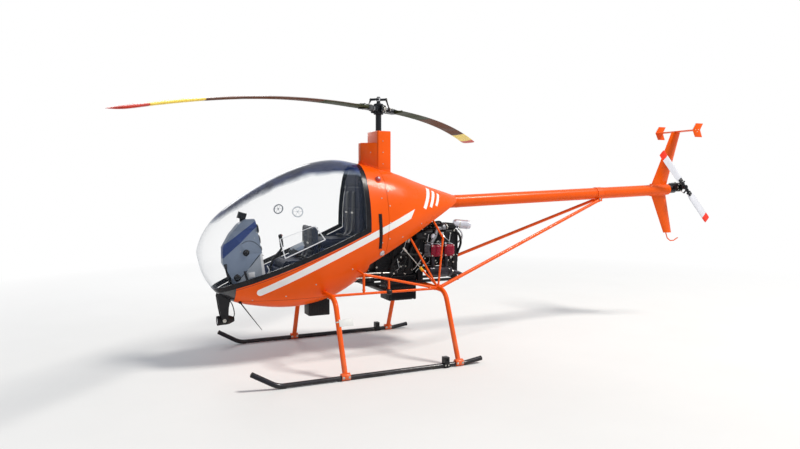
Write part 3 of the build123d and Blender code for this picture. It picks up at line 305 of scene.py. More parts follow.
# each finish: its colour or the property that holds it, its roughness, and what else surface() is told
FINISHES = {
    "orange shell": ("paint", 0.3, dict(coat=0.09, mottle=0.05, patch=3, grain=420, bump=0.06, dust=0.06,
        dust_top=0.95, gloss=0.12)),
    "orange tube": ("paint", 0.34, dict(coat=0.12, mottle=0.07, patch=9, grain=260, dust=0.25, dust_top=0.4,
        worn=(0.35, 0.1, 0.04, 1), worn_at=0.72)),
    "white stripe": ("stripe", 0.28, dict(coat=0.6, mottle=0.04, patch=5, grain=420, bump=0.06)),
    "red line": ((0.3, 0.012, 0.006), 0.3, dict(coat=0.6, mottle=0.06, grain=400)),
    "seam shadow": ((0.16, 0.02, 0.004), 0.6, dict(mottle=0.2)),
    "black rail": ((0.008, 0.008, 0.011), 0.26, dict(coat=0.08, mottle=0.25, patch=8, gloss=0.12, dust=0.05,
        dust_top=1.4)),
    "lining": ("trim", 0.6, dict(mottle=0.18, patch=12, grain=650, bump=0.35, depth=0.0006)),
    "console paint": ("console", 0.38, dict(mottle=0.1, patch=7, grain=520, bump=0.15, coat=0.1,
        speckle=0.25)),
    "console band": ((0.026, 0.05, 0.17), 0.4, dict(mottle=0.12, grain=500)),
    "console side": ((0.17, 0.21, 0.28), 0.42, dict(mottle=0.08, grain=500)),
    "panel grey": ((0.36, 0.4, 0.46), 0.42, dict(mottle=0.07, patch=10, grain=420, bump=0.12)),
    "black plastic": ((0.01, 0.01, 0.012), 0.46, dict(mottle=0.3, patch=20, grain=700, bump=0.3, dust=0.15)),
    "rubber": ((0.012, 0.012, 0.013), 0.65, dict(mottle=0.35, patch=30, grain=500, bump=0.35, dust=0.1)),
    "black steel": ((0.012, 0.012, 0.014), 0.34, dict(metal=0.1, coat=0.15, mottle=0.3, patch=16, bump=0.2,
        worn=(0.24, 0.23, 0.22, 1), worn_at=0.73)),
    "skid steel": ((0.01, 0.01, 0.016), 0.32, dict(metal=0.2, coat=0.3, mottle=0.4, patch=11, grain=240,
        bump=0.2, dust=0.12, dust_top=0.05, worn=(0.12, 0.12, 0.13, 1), worn_at=0.72)),
    "rotor black": ((0.012, 0.014, 0.018), 0.32, dict(metal=0.2, coat=0.1, mottle=0.25, patch=40, grain=500,
        bump=0.2, worn=(0.2, 0.2, 0.21, 1), worn_at=0.7)),
    "bright steel": ((0.5, 0.5, 0.52), 0.26, dict(metal=1, mottle=0.1, patch=18, grain=220, stretch=(1, 1,
        0.05))),
    "zinc": ((0.46, 0.45, 0.42), 0.34, dict(metal=1, mottle=0.15, patch=60, grain=500)),
    "cast alloy": ((0.22, 0.22, 0.24), 0.46, dict(metal=0.8, mottle=0.2, patch=25, grain=420, bump=0.5,
        depth=0.0008, worn=(0.04, 0.036, 0.03, 1), worn_at=0.58)),
    "engine black": ((0.009, 0.009, 0.011), 0.46, dict(metal=0.15, mottle=0.5, patch=22, grain=380, bump=0.5,
        depth=0.0008, worn=(0.06, 0.05, 0.045, 1), worn_at=0.66)),
    "red cover": ((0.24, 0.002, 0.022), 0.3, dict(coat=0.15, mottle=0.18, patch=22, grain=600, bump=0.5,
        depth=0.0006)),
    "hot pipe": ((0.03, 0.027, 0.036), 0.34, dict(metal=0.5, mottle=0.5, patch=13, grain=260, bump=0.4,
        worn=(0.1, 0.04, 0.02, 1), worn_at=0.66)),
    "spun can": ((0.56, 0.56, 0.62), 0.34, dict(metal=0.85, mottle=0.08, patch=16, grain=160, stretch=(0.1, 1,
        1))),
    "core fins": ((0.02, 0.02, 0.024), 0.5, dict(metal=0.5, mottle=0.4, grain=600)),
    "yellow tag": ((0.8, 0.42, 0.02), 0.45, dict(mottle=0.1)),
    "blade brown": ((0.135, 0.07, 0.055), 0.3, dict(coat=0.1, mottle=0.2, patch=4, grain=320, speckle=0.15)),
    "blade under": ((0.12, 0.04, 0.016), 0.5, dict(gloss=0.05, mottle=0.25, patch=3, grain=320)),
    "blade root": ((0.04, 0.05, 0.02), 0.5, dict(gloss=0.05, mottle=0.2, patch=5, grain=320)),
    "blade yellow": ((0.86, 0.62, 0.08), 0.35, dict(coat=0.05, patch=6, grain=320)),
    "blade red": ((0.5, 0.025, 0.008), 0.35, dict(coat=0.05, mottle=0.1, patch=8, grain=320)),
    "blade white": ((0.7, 0.71, 0.76), 0.24, dict(coat=0.5, mottle=0.05, patch=9, grain=350, worn=(0.42, 0.42,
        0.42, 1), worn_at=0.74)),
    "tip red": ((0.8, 0.03, 0.008), 0.26, dict(coat=0.3, patch=9, grain=350)),
    "vent rim": ((0.5, 0.54, 0.58), 0.15, dict(coat=0.8, patch=40, grain=400)),
    "red lens": ((0.42, 0.02, 0.03), 0.08, dict(coat=1, mottle=0.2, patch=60, grain=200)),
    # pale glossy lens: the landing lamp's real front lens, and a painted glint on the tips of the shoulder
    # lights
    "clear lens": ((0.62, 0.64, 0.68), 0.06, dict(coat=1, mottle=0.12, patch=60, grain=200, bump=0.2)),
    "mirror bowl": ((0.75, 0.75, 0.76), 0.08, dict(metal=1, mottle=0.05, patch=30, grain=100)),
    "placard": ((0.72, 0.72, 0.7), 0.4, dict(mottle=0.05, patch=20)),
    "white edge": ((0.74, 0.75, 0.78), 0.35, dict(mottle=0.05, patch=30, grain=400)),
}


def finishes(kind):
    # the machine's finish of that name, made when it is first asked for
    made = bpy.data.materials.get(kind)
    if made:
        return made
    if kind == "leather":
        return leather(kind, shade(colours().trim, 0.5))
    if kind == "dark weave":
        return woven(kind, (0.045, 0.045, 0.05), (0.005, 0.005, 0.007), 0.006, 0.24, 0.8)
    if kind == "webbing":
        return woven(kind, (0.016, 0.019, 0.03), (0.005, 0.006, 0.01), 0.002, 0.6)
    if kind == "bubble":
        # the last colour is the dark sky, painted as a reflection on the bubble's upper faces
        return clear_sheet(kind, (0.3, 0.36, 0.44), 0.02, 0.5, (0.012, 0.022, 0.07))
    if kind == "window sheet":
        return clear_sheet(kind, (0.4, 0.46, 0.5), 0.03, 0.35)
    colour, rough, settings = FINISHES[kind]
    return surface(kind, getattr(colours(), colour) if isinstance(colour, str) else colour, rough, **settings)


def leather(name, colour):
    # pebbled cover with fine creases
    made, tree, shader, place = blank(name)
    cells = add(tree, "ShaderNodeTexVoronoi", {"Scale": 420.0}, feature="SMOOTH_F1")
    wire(tree, place, cells, "Vector")
    crease = noise(tree, place, 55.0, 8.0, (1.0, 3.0, 1.0))
    tone = mixed(tree, ramp(tree, noise(tree, place, 11.0, 6.0), 0.3, 0.7), shade(colour, 0.75),
        shade(colour, 1.3))
    tone = mixed(tree, ramp(tree, crease, 0.6, 0.75, 0.0, 0.4), tone, shade(colour, 1.8))
    wire(tree, tone, shader, "Base Color")
    wire(tree, ramp(tree, crease, 0.3, 0.7, 0.38, 0.6), shader, "Roughness")
    shader.inputs["Specular IOR Level"].default_value = 0.08
    bumps(tree, shader, [(cells.outputs["Distance"], 0.35, 0.0005), (crease, 0.3, 0.0012)])
    return made


# shape helpers

def lerp(a, b, share):
    return a + (b - a) * share


def smooth_rows(rows, count):
    # natural cubic through the rows, spread evenly over the root of their chords
    p = np.array(rows, float)
    t = np.concatenate([[0.0], np.cumsum(np.linalg.norm(np.diff(p, axis=0), axis=1) ** 0.5)])
    h = np.diff(t)
    n = len(t)
    a = np.eye(n)
    b = np.zeros_like(p)
    for i in range(1, n - 1):
        a[i, i - 1:i + 2] = h[i - 1], 2 * (h[i - 1] + h[i]), h[i]
        b[i] = 6 * ((p[i + 1] - p[i]) / h[i] - (p[i] - p[i - 1]) / h[i - 1])
    m = np.linalg.solve(a, b)
    found = []
    for s in np.linspace(0, t[-1], count):
        i = min(int(np.searchsorted(t, s, side="right")) - 1, n - 2)
        u, v = t[i + 1] - s, s - t[i]
        curve = m[i] * u ** 3 / (6 * h[i]) + m[i + 1] * v ** 3 / (6 * h[i])
        curve = curve + (p[i] / h[i] - m[i] * h[i] / 6) * u
        found.append(curve + (p[i + 1] / h[i] - m[i + 1] * h[i] / 6) * v)
    return np.array(found)


POD_ROWS = smooth_rows(POD, 400)[::-1]


def pod_row(x):
    return [float(np.interp(x, POD_ROWS[:, 0], POD_ROWS[:, i])) for i in range(1, 5)]


def quarter_arcs(width, height):
    c, s = cos(SIDE_TURN), sin(SIDE_TURN)
    det = 1 - c - s
    return (width * (1 - s) - height * c) / det, ((1 - c) * height - s * width) / det


def quarter(width, height):
    # points from the side to the crown of one quarter of a section
    side, crown = quarter_arcs(width, height)
    points = []
    for i in range(SIDE_STEPS):
        a = SIDE_TURN * i / SIDE_STEPS
        points.append((width - side + side * cos(a), side * sin(a)))
    for i in range(CROWN_STEPS + 1):
        a = lerp(SIDE_TURN, pi / 2, i / CROWN_STEPS)
        points.append((crown * cos(a), height - crown + crown * sin(a)))
    return points


def pod_outline(x, width, top, wide, bottom):
    upper = quarter(width, top - wide)
    lower = quarter(width, wide - bottom)
    ring = [Vector((x, y, wide + z)) for y, z in upper]
    ring += [Vector((x, -y, wide + z)) for y, z in reversed(upper[:-1])]
    ring += [Vector((x, -y, wide - z)) for y, z in lower[1:]]
    ring += [Vector((x, y, wide - z)) for y, z in reversed(lower[1:-1])]
    return ring


def pod_side(x, z):
    # half width of the pod at a place in side view
    width, top, wide, bottom = pod_row(x)
    height = top - wide if z >= wide else wide - bottom
    side, crown = quarter_arcs(width, height)
    rise = abs(z - wide)
    if rise <= side * sin(SIDE_TURN):
        return width - side + sqrt(max(side ** 2 - rise ** 2, 0.0))
    return sqrt(max(crown ** 2 - (rise - height + crown) ** 2, 0.0))


def pod_top(x, y):
    # height of the pod's upper face over a place in plan
    width, top, wide, _ = pod_row(x)
    side, crown = quarter_arcs(width, top - wide)
    if abs(y) <= crown * cos(SIDE_TURN):
        return top - crown + sqrt(crown ** 2 - y ** 2)
    return wide + sqrt(max(side ** 2 - (abs(y) - width + side) ** 2, 0.0))


def circle_through(points):
    (ax, ay), (bx, by), (cx, cy) = points
    d = 2 * (ax * (by - cy) + bx * (cy - ay) + cx * (ay - by))
    a, b, c = ax * ax + ay * ay, bx * bx + by * by, cx * cx + cy * cy
    x = (a * (by - cy) + b * (cy - ay) + c * (ay - by)) / d
    z = (a * (cx - bx) + b * (ax - cx) + c * (bx - ax)) / d
    return x, z, hypot(ax - x, ay - z)


SILL_X, SILL_Z, SILL_R = circle_through(SILL)
SILL_UP = 1.0 if SILL[1][1] > SILL_Z else -1.0


def above_sill(x, z):
    # distance above the sill's arc, square to it
    return SILL_UP * (hypot(x - SILL_X, z - SILL_Z) - SILL_R)


def sill_z(x):
    return SILL_Z + SILL_UP * sqrt(SILL_R ** 2 - (x - SILL_X) ** 2)


def boom_z(x):
    share = (x - BOOM_FRONT[0]) / (BOOM_REAR[0] - BOOM_FRONT[0])
    return lerp(BOOM_FRONT[1], BOOM_REAR[1], share)


def spline(points, steps=6):
    # smooth line through the points
    p = [Vector(q) for q in points]
    p = [2 * p[0] - p[1]] + p + [2 * p[-1] - p[-2]]
    line = []
    for a, b, c, d in zip(p, p[1:], p[2:], p[3:]):
        for i in range(steps):
            t = i / steps
            line.append(0.5 * (2 * b + (c - a) * t + (2 * a - 5 * b + 4 * c - d) * t * t
                + (3 * b - a - 3 * c + d) * t ** 3))
    line.append(p[-2])
    return line


def side_frame(axis):
    # two directions square to an axis
    axis = axis.normalized()
    start = Vector((0, 0, 1)) if abs(axis.z) < 0.9 else Vector((1, 0, 0))
    u = axis.cross(start).normalized()
    return u, axis.cross(u).normalized()


def angles(count):
    return [2 * pi * k / count for k in range(count)]


def circle(centre, u, v, radius, sides):
    return [centre + (u * cos(a) + v * sin(a)) * radius for a in angles(sides)]


class Shape:
    """Mesh of one piece, drawn about the rotor mast."""

    def __init__(self):
        self.bm = bmesh.new()
        self.kinds = []

    def index(self, kind):
        if kind not in self.kinds:
            self.kinds.append(kind)
        return self.kinds.index(kind)

    def face(self, verts, kind):
        made = self.bm.faces.new(verts)
        made.material_index = self.index(kind)
        made.smooth = True
        return made

    def skin(self, rings, kind, around=True, ends=(False, False)):
        rows = [[self.bm.verts.new(p) for p in ring] for ring in rings]
        count = len(rows[0])
        for k, (a, b) in enumerate(zip(rows, rows[1:])):
            paint = kind(k) if callable(kind) else kind
            for i in range(count if around else count - 1):
                j = (i + 1) % count
                self.face((a[i], a[j], b[j], b[i]), paint)
        for row, close in ((rows[0], ends[0]), (rows[-1], ends[1])):
            if close:
                paint = kind(0 if row is rows[0] else len(rows) - 2) if callable(kind) else kind
                self.face(row, paint)

    def tube(self, points, radius, kind, sides=12, ends=(True, True)):
        # round bar along a line; radius is a number, or one for each point
        p = [Vector(q) for q in points]
        radii = radius if isinstance(radius, (list, tuple)) else [radius] * len(p)
        u, _ = side_frame(p[1] - p[0])
        rings = []
        for i, centre in enumerate(p):
            ahead = (p[min(i + 1, len(p) - 1)] - p[max(i - 1, 0)]).normalized()
            u = (u - ahead * u.dot(ahead)).normalized()
            v = ahead.cross(u)
            rings.append(circle(centre, u, v, radii[i], sides))
        self.skin(rings, kind, ends=ends)

    def turned(self, start, end, profile, kind, sides=24):
        # revolved form: profile of (distance from start, radius); one that comes back to its start is a ring
        a, axis = Vector(start), (Vector(end) - Vector(start)).normalized()
        u, v = side_frame(axis)
        rings = [circle(a + axis * distance, u, v, max(radius, 1e-5), sides) for distance, radius in profile]
        self.skin(rings, kind, ends=(profile[0] != profile[-1],) * 2)

    def knob(self, start, end, profile, kind, sides=24):
        # turned form with a flat face at each end
        self.turned(start, end, [(profile[0][0], 0)] + profile + [(profile[-1][0], 0)], kind, sides)

    def box(self, centre, size, kind, turn=(0, 0, 0), edge=0.003, steps=2):
        made = bmesh.ops.create_cube(self.bm, size=1.0)
        place = Matrix.Translation(centre)
        for angle, axis in zip(reversed(turn), "ZYX"):
            place = place @ Matrix.Rotation(angle, 4, axis)
        place = place @ Matrix.Diagonal((*size, 1.0))
        bmesh.ops.transform(self.bm, matrix=place, verts=made["verts"])
        faces = {f for v in made["verts"] for f in v.link_faces}
        for f in faces:
            f.material_index = self.index(kind)
        if edge:
            edges = list({e for f in faces for e in f.edges})
            done = bmesh.ops.bevel(self.bm, geom=edges, offset=edge, segments=steps, profile=0.5,
                affect="EDGES", material=-1)
            faces = {f for f in faces if f.is_valid} | set(done["faces"])
        for f in faces:
            f.smooth = True
            f.material_index = self.index(kind)

    def plate(self, outline, kind, normal, depth, edge):
        # flat plate from an outline of points, thickened along the normal
        n = Vector(normal).normalized() * depth / 2
        low = [self.bm.verts.new(Vector(p) - n) for p in outline]
        high = [self.bm.verts.new(Vector(p) + n) for p in outline]
        made = [self.face(low[::-1], kind), self.face(high, kind)]
        for i in range(len(low)):
            j = (i + 1) % len(low)
            self.face((low[i], low[j], high[j], high[i]), kind)
        edges = list({e for f in made for e in f.edges})
        bmesh.ops.bevel(self.bm, geom=edges, offset=edge, segments=2, profile=0.5, affect="EDGES",
            material=-1)

    def bolt(self, at, axis, radius, height, kind="zinc"):
        at, axis = Vector(at), Vector(axis).normalized()
        self.turned(at, at + axis, [(-0.001, 0), (-0.001, radius * 1.7), (0.0012, radius * 1.7), (0.0012, 0)],
            kind, 12)
        self.knob(at, at + axis, [(0, radius), (height * 0.8, radius), (height, radius * 0.8)], kind, 6)

    def screw(self, at, axis, radius, kind="zinc"):
        # low round head
        at, axis = Vector(at), Vector(axis).normalized()
        dome = [(radius * 0.5 * sin(t), radius * cos(t)) for t in (0.0, 0.5, 1.0, 1.35)]
        self.turned(at, at + axis, [(-0.002, radius)] + dome + [(radius * 0.5, 0)], kind, 14)

    def move(self, matrix):
        bmesh.ops.transform(self.bm, matrix=matrix, verts=self.bm.verts[:])

    def done(self, name, slot, nodes=(), body="airframe", closed=True, sharp=35.0):
        # turns the drawing into an object that rides on its body
        bm = self.bm
        if closed:
            bmesh.ops.recalc_face_normals(bm, faces=bm.faces[:])
        bmesh.ops.translate(bm, vec=(MAST_X, 0, 0), verts=bm.verts[:])
        mesh = bpy.data.meshes.new(name)
        bm.to_mesh(mesh)
        bm.free()
        for kind in self.kinds:
            mesh.materials.append(finishes(kind))
        mesh.set_sharp_from_angle(angle=radians(sharp))
        made = bpy.data.objects.new(name, mesh)
        bpy.context.scene.collection.objects.link(made)
        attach(made, body)
        if nodes:
            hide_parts(*nodes)
        return made


def dress(kind, *nodes):
    # a carried-over solid gets its finish and keeps its mesh
    for node in nodes:
        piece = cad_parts[node]
        piece.data.materials.clear()
        piece.data.materials.append(finishes(kind))


def apply_modifiers(piece):
    bpy.context.view_layer.update()
    graph = bpy.context.evaluated_depsgraph_get()
    mesh = bpy.data.meshes.new_from_object(piece.evaluated_get(graph))
    piece.modifiers.clear()
    piece.data = mesh


# pod panels: one drawn pod, scored along every edge line, then shared out

def off_canopy(co):
    return co.x < ARCH_X or above_sill(co.x, co.z) < 0.001


def on_cowl(co):
    return co.x < 0


def everywhere(co):
    return True


def score(bm, height, where=everywhere):
    # splits the faces along the line where height(co) is nought, as far as where(co) says
    value = {v: height(v.co) for v in bm.verts}
    for v, h in list(value.items()):
        if abs(h) < 1e-6:
            value[v] = 0.0
    for edge in list(bm.edges):
        a, b = edge.verts
        if value[a] * value[b] < 0 and where((a.co + b.co) / 2):
            share = value[a] / (value[a] - value[b])
            guess = a.co.lerp(b.co, share)
            fix = height(guess)
            if fix * value[a] > 0:
                share += (1 - share) * abs(fix) / max(abs(fix) + abs(value[b]), 1e-9)
            elif fix * value[a] < 0:
                share -= share * abs(fix) / max(abs(fix) + abs(value[a]), 1e-9)
            _, fresh = bmesh.utils.edge_split(edge, a, min(max(share, 1e-3), 0.999))
            value[fresh] = 0.0
    for face in list(bm.faces):
        on_line = [v for v in face.verts if value[v] == 0.0]
        signs = {value[v] > 0 for v in face.verts if value[v] != 0.0}
        if len(on_line) == 2 and len(signs) == 2:
            try:
                bmesh.utils.face_split(face, on_line[0], on_line[1])
            except ValueError:
                continue


def below_cowl_edge(x, z):
    (x0, z0), (x1, z1) = COWL_EDGE
    return (x - x1) * (z0 - z1) / (x0 - x1) + z1 - z


# slanted bars of the mark on the cowl: centre x, z, length, width
MARK = [(-0.378, 1.392, 0.2, 0.034), (-0.44, 1.386, 0.16, 0.03), (-0.498, 1.378, 0.12, 0.026)]
MARK_LEAN = radians(28)
# straight edges of the stripe, as a place on the edge and the way out of the stripe in side view
STRIPE_TIP = (1.127, 0.6443)
STRIPE_HALF = 0.0287
STRIPE_ENDS = [((-0.205, 1.28), (-cos(MARK_LEAN), -sin(MARK_LEAN)))]
for turn in range(-115, 66, 30):
    c, s = cos(radians(turn)), sin(radians(turn))
    STRIPE_ENDS.append(((STRIPE_TIP[0] + STRIPE_HALF * c, STRIPE_TIP[1] + STRIPE_HALF * s), (c, s)))
UNDER_SEAM = (0.5635, 0.566)


def past(x, z, edge):
    (px, pz), (nx, nz) = edge
    return (x - px) * nx + (z - pz) * nz


def mark_place(x, z, bar):
    # lengthways and crossways place in a bar
    cx, cz, _, _ = bar
    dx, dz = x - cx, z - cz
    return (dz * cos(MARK_LEAN) - dx * sin(MARK_LEAN)), (dx * cos(MARK_LEAN) + dz * sin(MARK_LEAN))


def drawn_pod():
    s = sizes()
    shape = Shape()
    rings = [pod_outline(*row) for row in smooth_rows(POD, s.pod_rings)]
    tip = POD[0][0]
    centre = Vector((tip + 0.01, 0, POD[0][3]))
    nose = [[lerp(p, centre, k) for p in rings[0]] for k in (0.62, 0.3)]
    for ring, x in zip(nose, (tip + 0.0075, tip + 0.004)):
        for p in ring:
            p.x = x
    rear = []
    boom = Vector((0, 0, boom_z(-0.755)))
    for share, x in ((0.12, -0.7545), (0.4, -0.76), (1.0, -0.762)):
        outs = [(Vector((0, p.y, p.z)) - boom).normalized() * (BOOM_R + 0.0015) for p in rings[-1]]
        rear.append([Vector((x, lerp(p.y, out.y, share), lerp(p.z, boom.z + out.z, share)))
            for p, out in zip(rings[-1], outs)])
    shape.skin(nose + rings + rear, "orange shell", ends=(True, False))
    bm = shape.bm
    bmesh.ops.recalc_face_normals(bm, faces=bm.faces[:])
    top = [f for f in bm.faces if f.calc_center_median().z > 1.5 and 0 < f.calc_center_median().x < 0.6]
    if sum(f.normal.z for f in top) < 0:
        bmesh.ops.reverse_faces(bm, faces=bm.faces[:])
    for line in (0.0, -RED_LINE[0], -RED_LINE[1], SEAL_GAP, SEAL_GAP + s.rail):
        score(bm, lambda co: above_sill(co.x, co.z) - line)
    for x in (ARCH_X - SEAL_GAP, ARCH_X, ARCH_X + s.rail, SEAM_X - SEAM_HALF, SEAM_X + SEAM_HALF):
        score(bm, lambda co: co.x - x)
    for x in (NOSE_X - NOSE_GAP, NOSE_X + NOSE_GAP):
        score(bm, lambda co: co.x - x, off_canopy)
    score(bm, lambda co: below_cowl_edge(co.x, co.z))
    for z in UNDER_SEAM:
        score(bm, lambda co: co.z - z)
    for edge in STRIPE_ENDS:
        score(bm, lambda co: past(co.x, co.z, edge), off_canopy)
    for bar in MARK:
        for which, half in ((0, bar[2] / 2), (1, bar[3] / 2)):
            for sign in (1, -1):
                score(bm, lambda co: mark_place(co.x, co.z, bar)[which] - sign * half, on_cowl)
    return shape


def paint_of(co):
    # which paint a place on the shell wears
    x, z = co.x, co.z
    down = -above_sill(x, z)
    if abs(co.y) < KEEL_HALF:
        return "orange shell"
    if x > ARCH_X and RED_LINE[0] < down < RED_LINE[1]:
        return "red line"
    if all(past(x, z, edge) < 0 for edge in STRIPE_ENDS):
        return "white stripe"
    for bar in MARK:
        along, across = mark_place(x, z, bar)
        if abs(along) < bar[2] / 2 and abs(across) < bar[3] / 2:
            return "white stripe"
    return "seam shadow" if UNDER_SEAM[0] < z < UNDER_SEAM[1] and x < 1.3 else "orange shell"


def panel_of(co):
    # which panel a place on the pod belongs to
    s = sizes()
    x, z = co.x, co.z
    lift = above_sill(x, z)
    if x > ARCH_X and lift > SEAL_GAP:
        return "glass" if x > ARCH_X + s.rail and lift > SEAL_GAP + s.rail else "rail"
    if x > ARCH_X - SEAL_GAP and lift > 0:
        return "gap"
    if x > NOSE_X + NOSE_GAP:
        return "nose"
    if x > NOSE_X - NOSE_GAP:
        return "gap"
    if below_cowl_edge(x, z) > 0 and x < COWL_EDGE[0][0]:
        return "gap"
    if x > SEAM_X + SEAM_HALF:
        return "cabin"
    if x > SEAM_X - SEAM_HALF:
        return "gap"
    return "cowl"


def panel(pod, which, name, slot, nodes, wall, paint, inner=None, body="airframe"):
    # one panel of the pod, with its real thickness
    shape = Shape()
    fresh = {}
    for f in pod.bm.faces:
        centre = f.calc_center_median()
        if panel_of(centre) != which:
            continue
        for v in f.verts:
            if v not in fresh:
                fresh[v] = shape.bm.verts.new(v.co)
        shape.face([fresh[v] for v in f.verts], paint(centre) if callable(paint) else paint)
    shape.index(inner or shape.kinds[0])
    made = shape.done(name, slot, nodes, body, closed=False, sharp=50.0)
    solid = made.modifiers.new("wall", "SOLIDIFY")
    solid.thickness = wall
    solid.offset = -1.0
    if inner:
        solid.material_offset = len(shape.kinds)
        for _ in range(len(shape.kinds)):
            made.data.materials.append(finishes(inner))
        solid.material_offset_rim = len(shape.kinds)
    apply_modifiers(made)
    made.data.set_sharp_from_angle(angle=radians(50))
    return made


class HELI_OT_stage(bpy.types.Operator):
    """Floor, world, lights and camera"""
    bl_idname = "heli.stage"
    bl_label = "Stage"

    def execute(self, context):
        scene = context.scene
        scene.view_settings.view_transform = "Standard"
        bpy.ops.mesh.primitive_plane_add(size=90)
        floor = context.active_object
        floor.name = "studio_floor"
        floor.data.materials.append(floor_finish())
        world = bpy.data.worlds.new("studio")
        scene.world = world
        world.use_nodes = True
        tree = world.node_tree
        tree.nodes.clear()
        sky = add(tree, "ShaderNodeBackground", {"Color": (0.84, 0.9, 1.0, 1), "Strength": 0.42})
        white = add(tree, "ShaderNodeBackground", {"Color": (1, 1, 1, 1), "Strength": 1.0})
        mix = add(tree, "ShaderNodeMixShader")
        for slot, source in enumerate((seen(tree), sky.outputs[0], white.outputs[0])):
            tree.links.new(source, mix.inputs[slot])
        wire(tree, mix.outputs[0], add(tree, "ShaderNodeOutputWorld"), "Surface")
        centre = Vector((MAST_X, 0, 1.1))
        for name, where, size, power, colour in LAMPS:
            light = bpy.data.lights.new(name, "AREA")
            light.shape = "DISK"
            light.size = size
            light.energy = power
            light.color = colour
            lamp = bpy.data.objects.new(name, light)
            lamp.location = Vector(where) + Vector((MAST_X, 0, 0))
            lamp.rotation_euler = (centre - lamp.location).to_track_quat("-Z", "Y").to_euler()
            scene.collection.objects.link(lamp)
        scene.camera = photo_camera(scene)
        return {"FINISHED"}


# name, place about the mast, width, power, colour
LAMPS = [("key", (-11.0, 9.0, 18.0), 5.0, 4700.0, (1.0, 0.96, 0.9)),
         ("fill", (5.5, 5.5, 3.2), 4.0, 34.0, (0.93, 0.96, 1.0)),
         ("rim", (1.0, -6.5, 4.6), 3.5, 110.0, (1.0, 1.0, 1.0))]


def seen(tree):
    # 1 for what the camera sees, straight or through glass or metal
    path = add(tree, "ShaderNodeLightPath").outputs
    direct = times(tree, path["Is Camera Ray"], path["Is Transmission Ray"], "MAXIMUM")
    return times(tree, direct, path["Is Glossy Ray"], "MAXIMUM")


def floor_finish():
    # pale floor that keeps the shadow and fades to white far from the machine
    made, tree, shader, place = blank("studio floor")
    tone = colours().floor
    mottle = ramp(tree, noise(tree, place, 1.2, 4.0), 0.3, 0.7)
    wire(tree, mixed(tree, mottle, shade(tone, 0.985), shade(tone, 1.01)), shader, "Base Color")
    shader.inputs["Roughness"].default_value = 0.85
    shader.inputs["Specular IOR Level"].default_value = 0.2
    distance = add(tree, "ShaderNodeVectorMath", operation="LENGTH")
    wire(tree, place, distance, "Vector")
    share = times(tree, ramp(tree, distance.outputs["Value"], 3.2, 8.0), seen(tree))
    white = add(tree, "ShaderNodeEmission", {"Color": (1, 1, 1, 1), "Strength": 1.0})
    mix = add(tree, "ShaderNodeMixShader")
    for slot, source in enumerate((share, shader.outputs[0], white.outputs[0])):
        tree.links.new(source, mix.inputs[slot])
    wire(tree, mix.outputs[0], tree.nodes["Material Output"], "Surface")
    return made


CAMERA_FROM = (2.2526, 5.4246, 1.5135)     # about the mast
CAMERA_YAW = 0.4267
CAMERA_PITCH = -0.061
CAMERA_ROLL = 0.001
FOCAL_PIXELS = 648.58


def photo_camera(scene):
    lens = bpy.data.cameras.new("photo camera")
    lens.sensor_fit = "HORIZONTAL"
    lens.sensor_width = 36.0
    lens.lens = FOCAL_PIXELS / IMAGE[0] * lens.sensor_width
    lens.clip_end = 200.0
    made = bpy.data.objects.new("photo camera", lens)
    scene.collection.objects.link(made)
    ahead = Vector((-sin(CAMERA_YAW) * cos(CAMERA_PITCH), -cos(CAMERA_YAW) * cos(CAMERA_PITCH),
        sin(CAMERA_PITCH)))
    right = Vector((-cos(CAMERA_YAW), sin(CAMERA_YAW), 0))
    up = right.cross(ahead)
    right, up = (right * cos(CAMERA_ROLL) + up * sin(CAMERA_ROLL), up * cos(CAMERA_ROLL) - right
        * sin(CAMERA_ROLL))
    turn = Matrix((right, up, -ahead)).transposed().to_4x4()
    made.matrix_world = Matrix.Translation(Vector(CAMERA_FROM) + Vector((MAST_X, 0, 0))) @ turn
    return made


class HELI_OT_pod(bpy.types.Operator):
    """Cabin shell, nose cap, rear cowl and the fairing round the mast"""
    bl_idname = "heli.pod"
    bl_label = "Pod"

    def execute(self, context):
        pod = drawn_pod()
        pod.bm.normal_update()
        panel(pod, "cabin", "cabin_skin", "orange_shell", ["cabin_shell"], SHELL_WALL, paint_of, "lining")
        panel(pod, "cowl", "cowl_skin", "orange_shell", ["rear_cowl"], SHELL_WALL, paint_of)
        panel(pod, "nose", "nose_skin", "black_composite", ["nose_cap"], SHELL_WALL, "dark weave",
            "black plastic")
        pod.bm.free()
        mast_fairing()
        shell_fasteners()
        return {"FINISHED"}


def mast_fairing():
    # wedge in plan, walls run down to the pod, lower step at the front
    shape = Shape()
    for half, high in FAIRING:
        outline = half + [(x, -y) for x, y in reversed(half)]
        foot = [Vector((x, y, pod_top(x, y) - 0.006)) for x, y in outline]
        head = [Vector((x, y, high)) for x, y in outline]
        shape.skin([foot, head], "orange shell", ends=(True, True))
    body = shape.done("fairing_skin", "orange_shell", ["mast_fairing"], sharp=30.0)
    bevel = body.modifiers.new("round", "BEVEL")
    bevel.width = 0.009
    bevel.segments = 3
    bevel.limit_method = "ANGLE"
    bevel.angle_limit = radians(20)
    apply_modifiers(body)
    body.data.set_sharp_from_angle(angle=radians(40))
    trim = Shape()
    rings = []
    for half, lift in ((OUTER_FLANGE, -0.003), (OUTER_FLANGE, 0.0025), (INNER_FLANGE, 0.006),
            (INNER_FLANGE, 0.03)):
        line = half + [(x, -y) for x, y in half[-2:0:-1]]
        smooth = spline([(x, y, 0) for x, y in line + line[:1]], 4)[:-1]
        rings.append([Vector((p.x, p.y, pod_top(p.x, p.y) + lift)) for p in smooth])
    trim.skin(rings, "orange shell")
    top = FAIRING[1][1]
    trim.knob((0, 0, top - 0.004), (0, 0, top + 0.03),
        [(0, 0.04), (0.006, 0.04), (0.01, 0.03), (0.014, 0.0275)], "rubber", 28)
    for side in (1, -1):
        for z in (1.7, 1.8, 1.9):
            trim.screw((0.006, side * 0.1175, z), (0.15, side, 0), 0.0042)
        trim.screw((0.11, side * 0.0835, 1.8), (0.58, side * 0.8, 0), 0.0042)
    trim.done("fairing_trim", "orange_shell", closed=False, sharp=40.0)


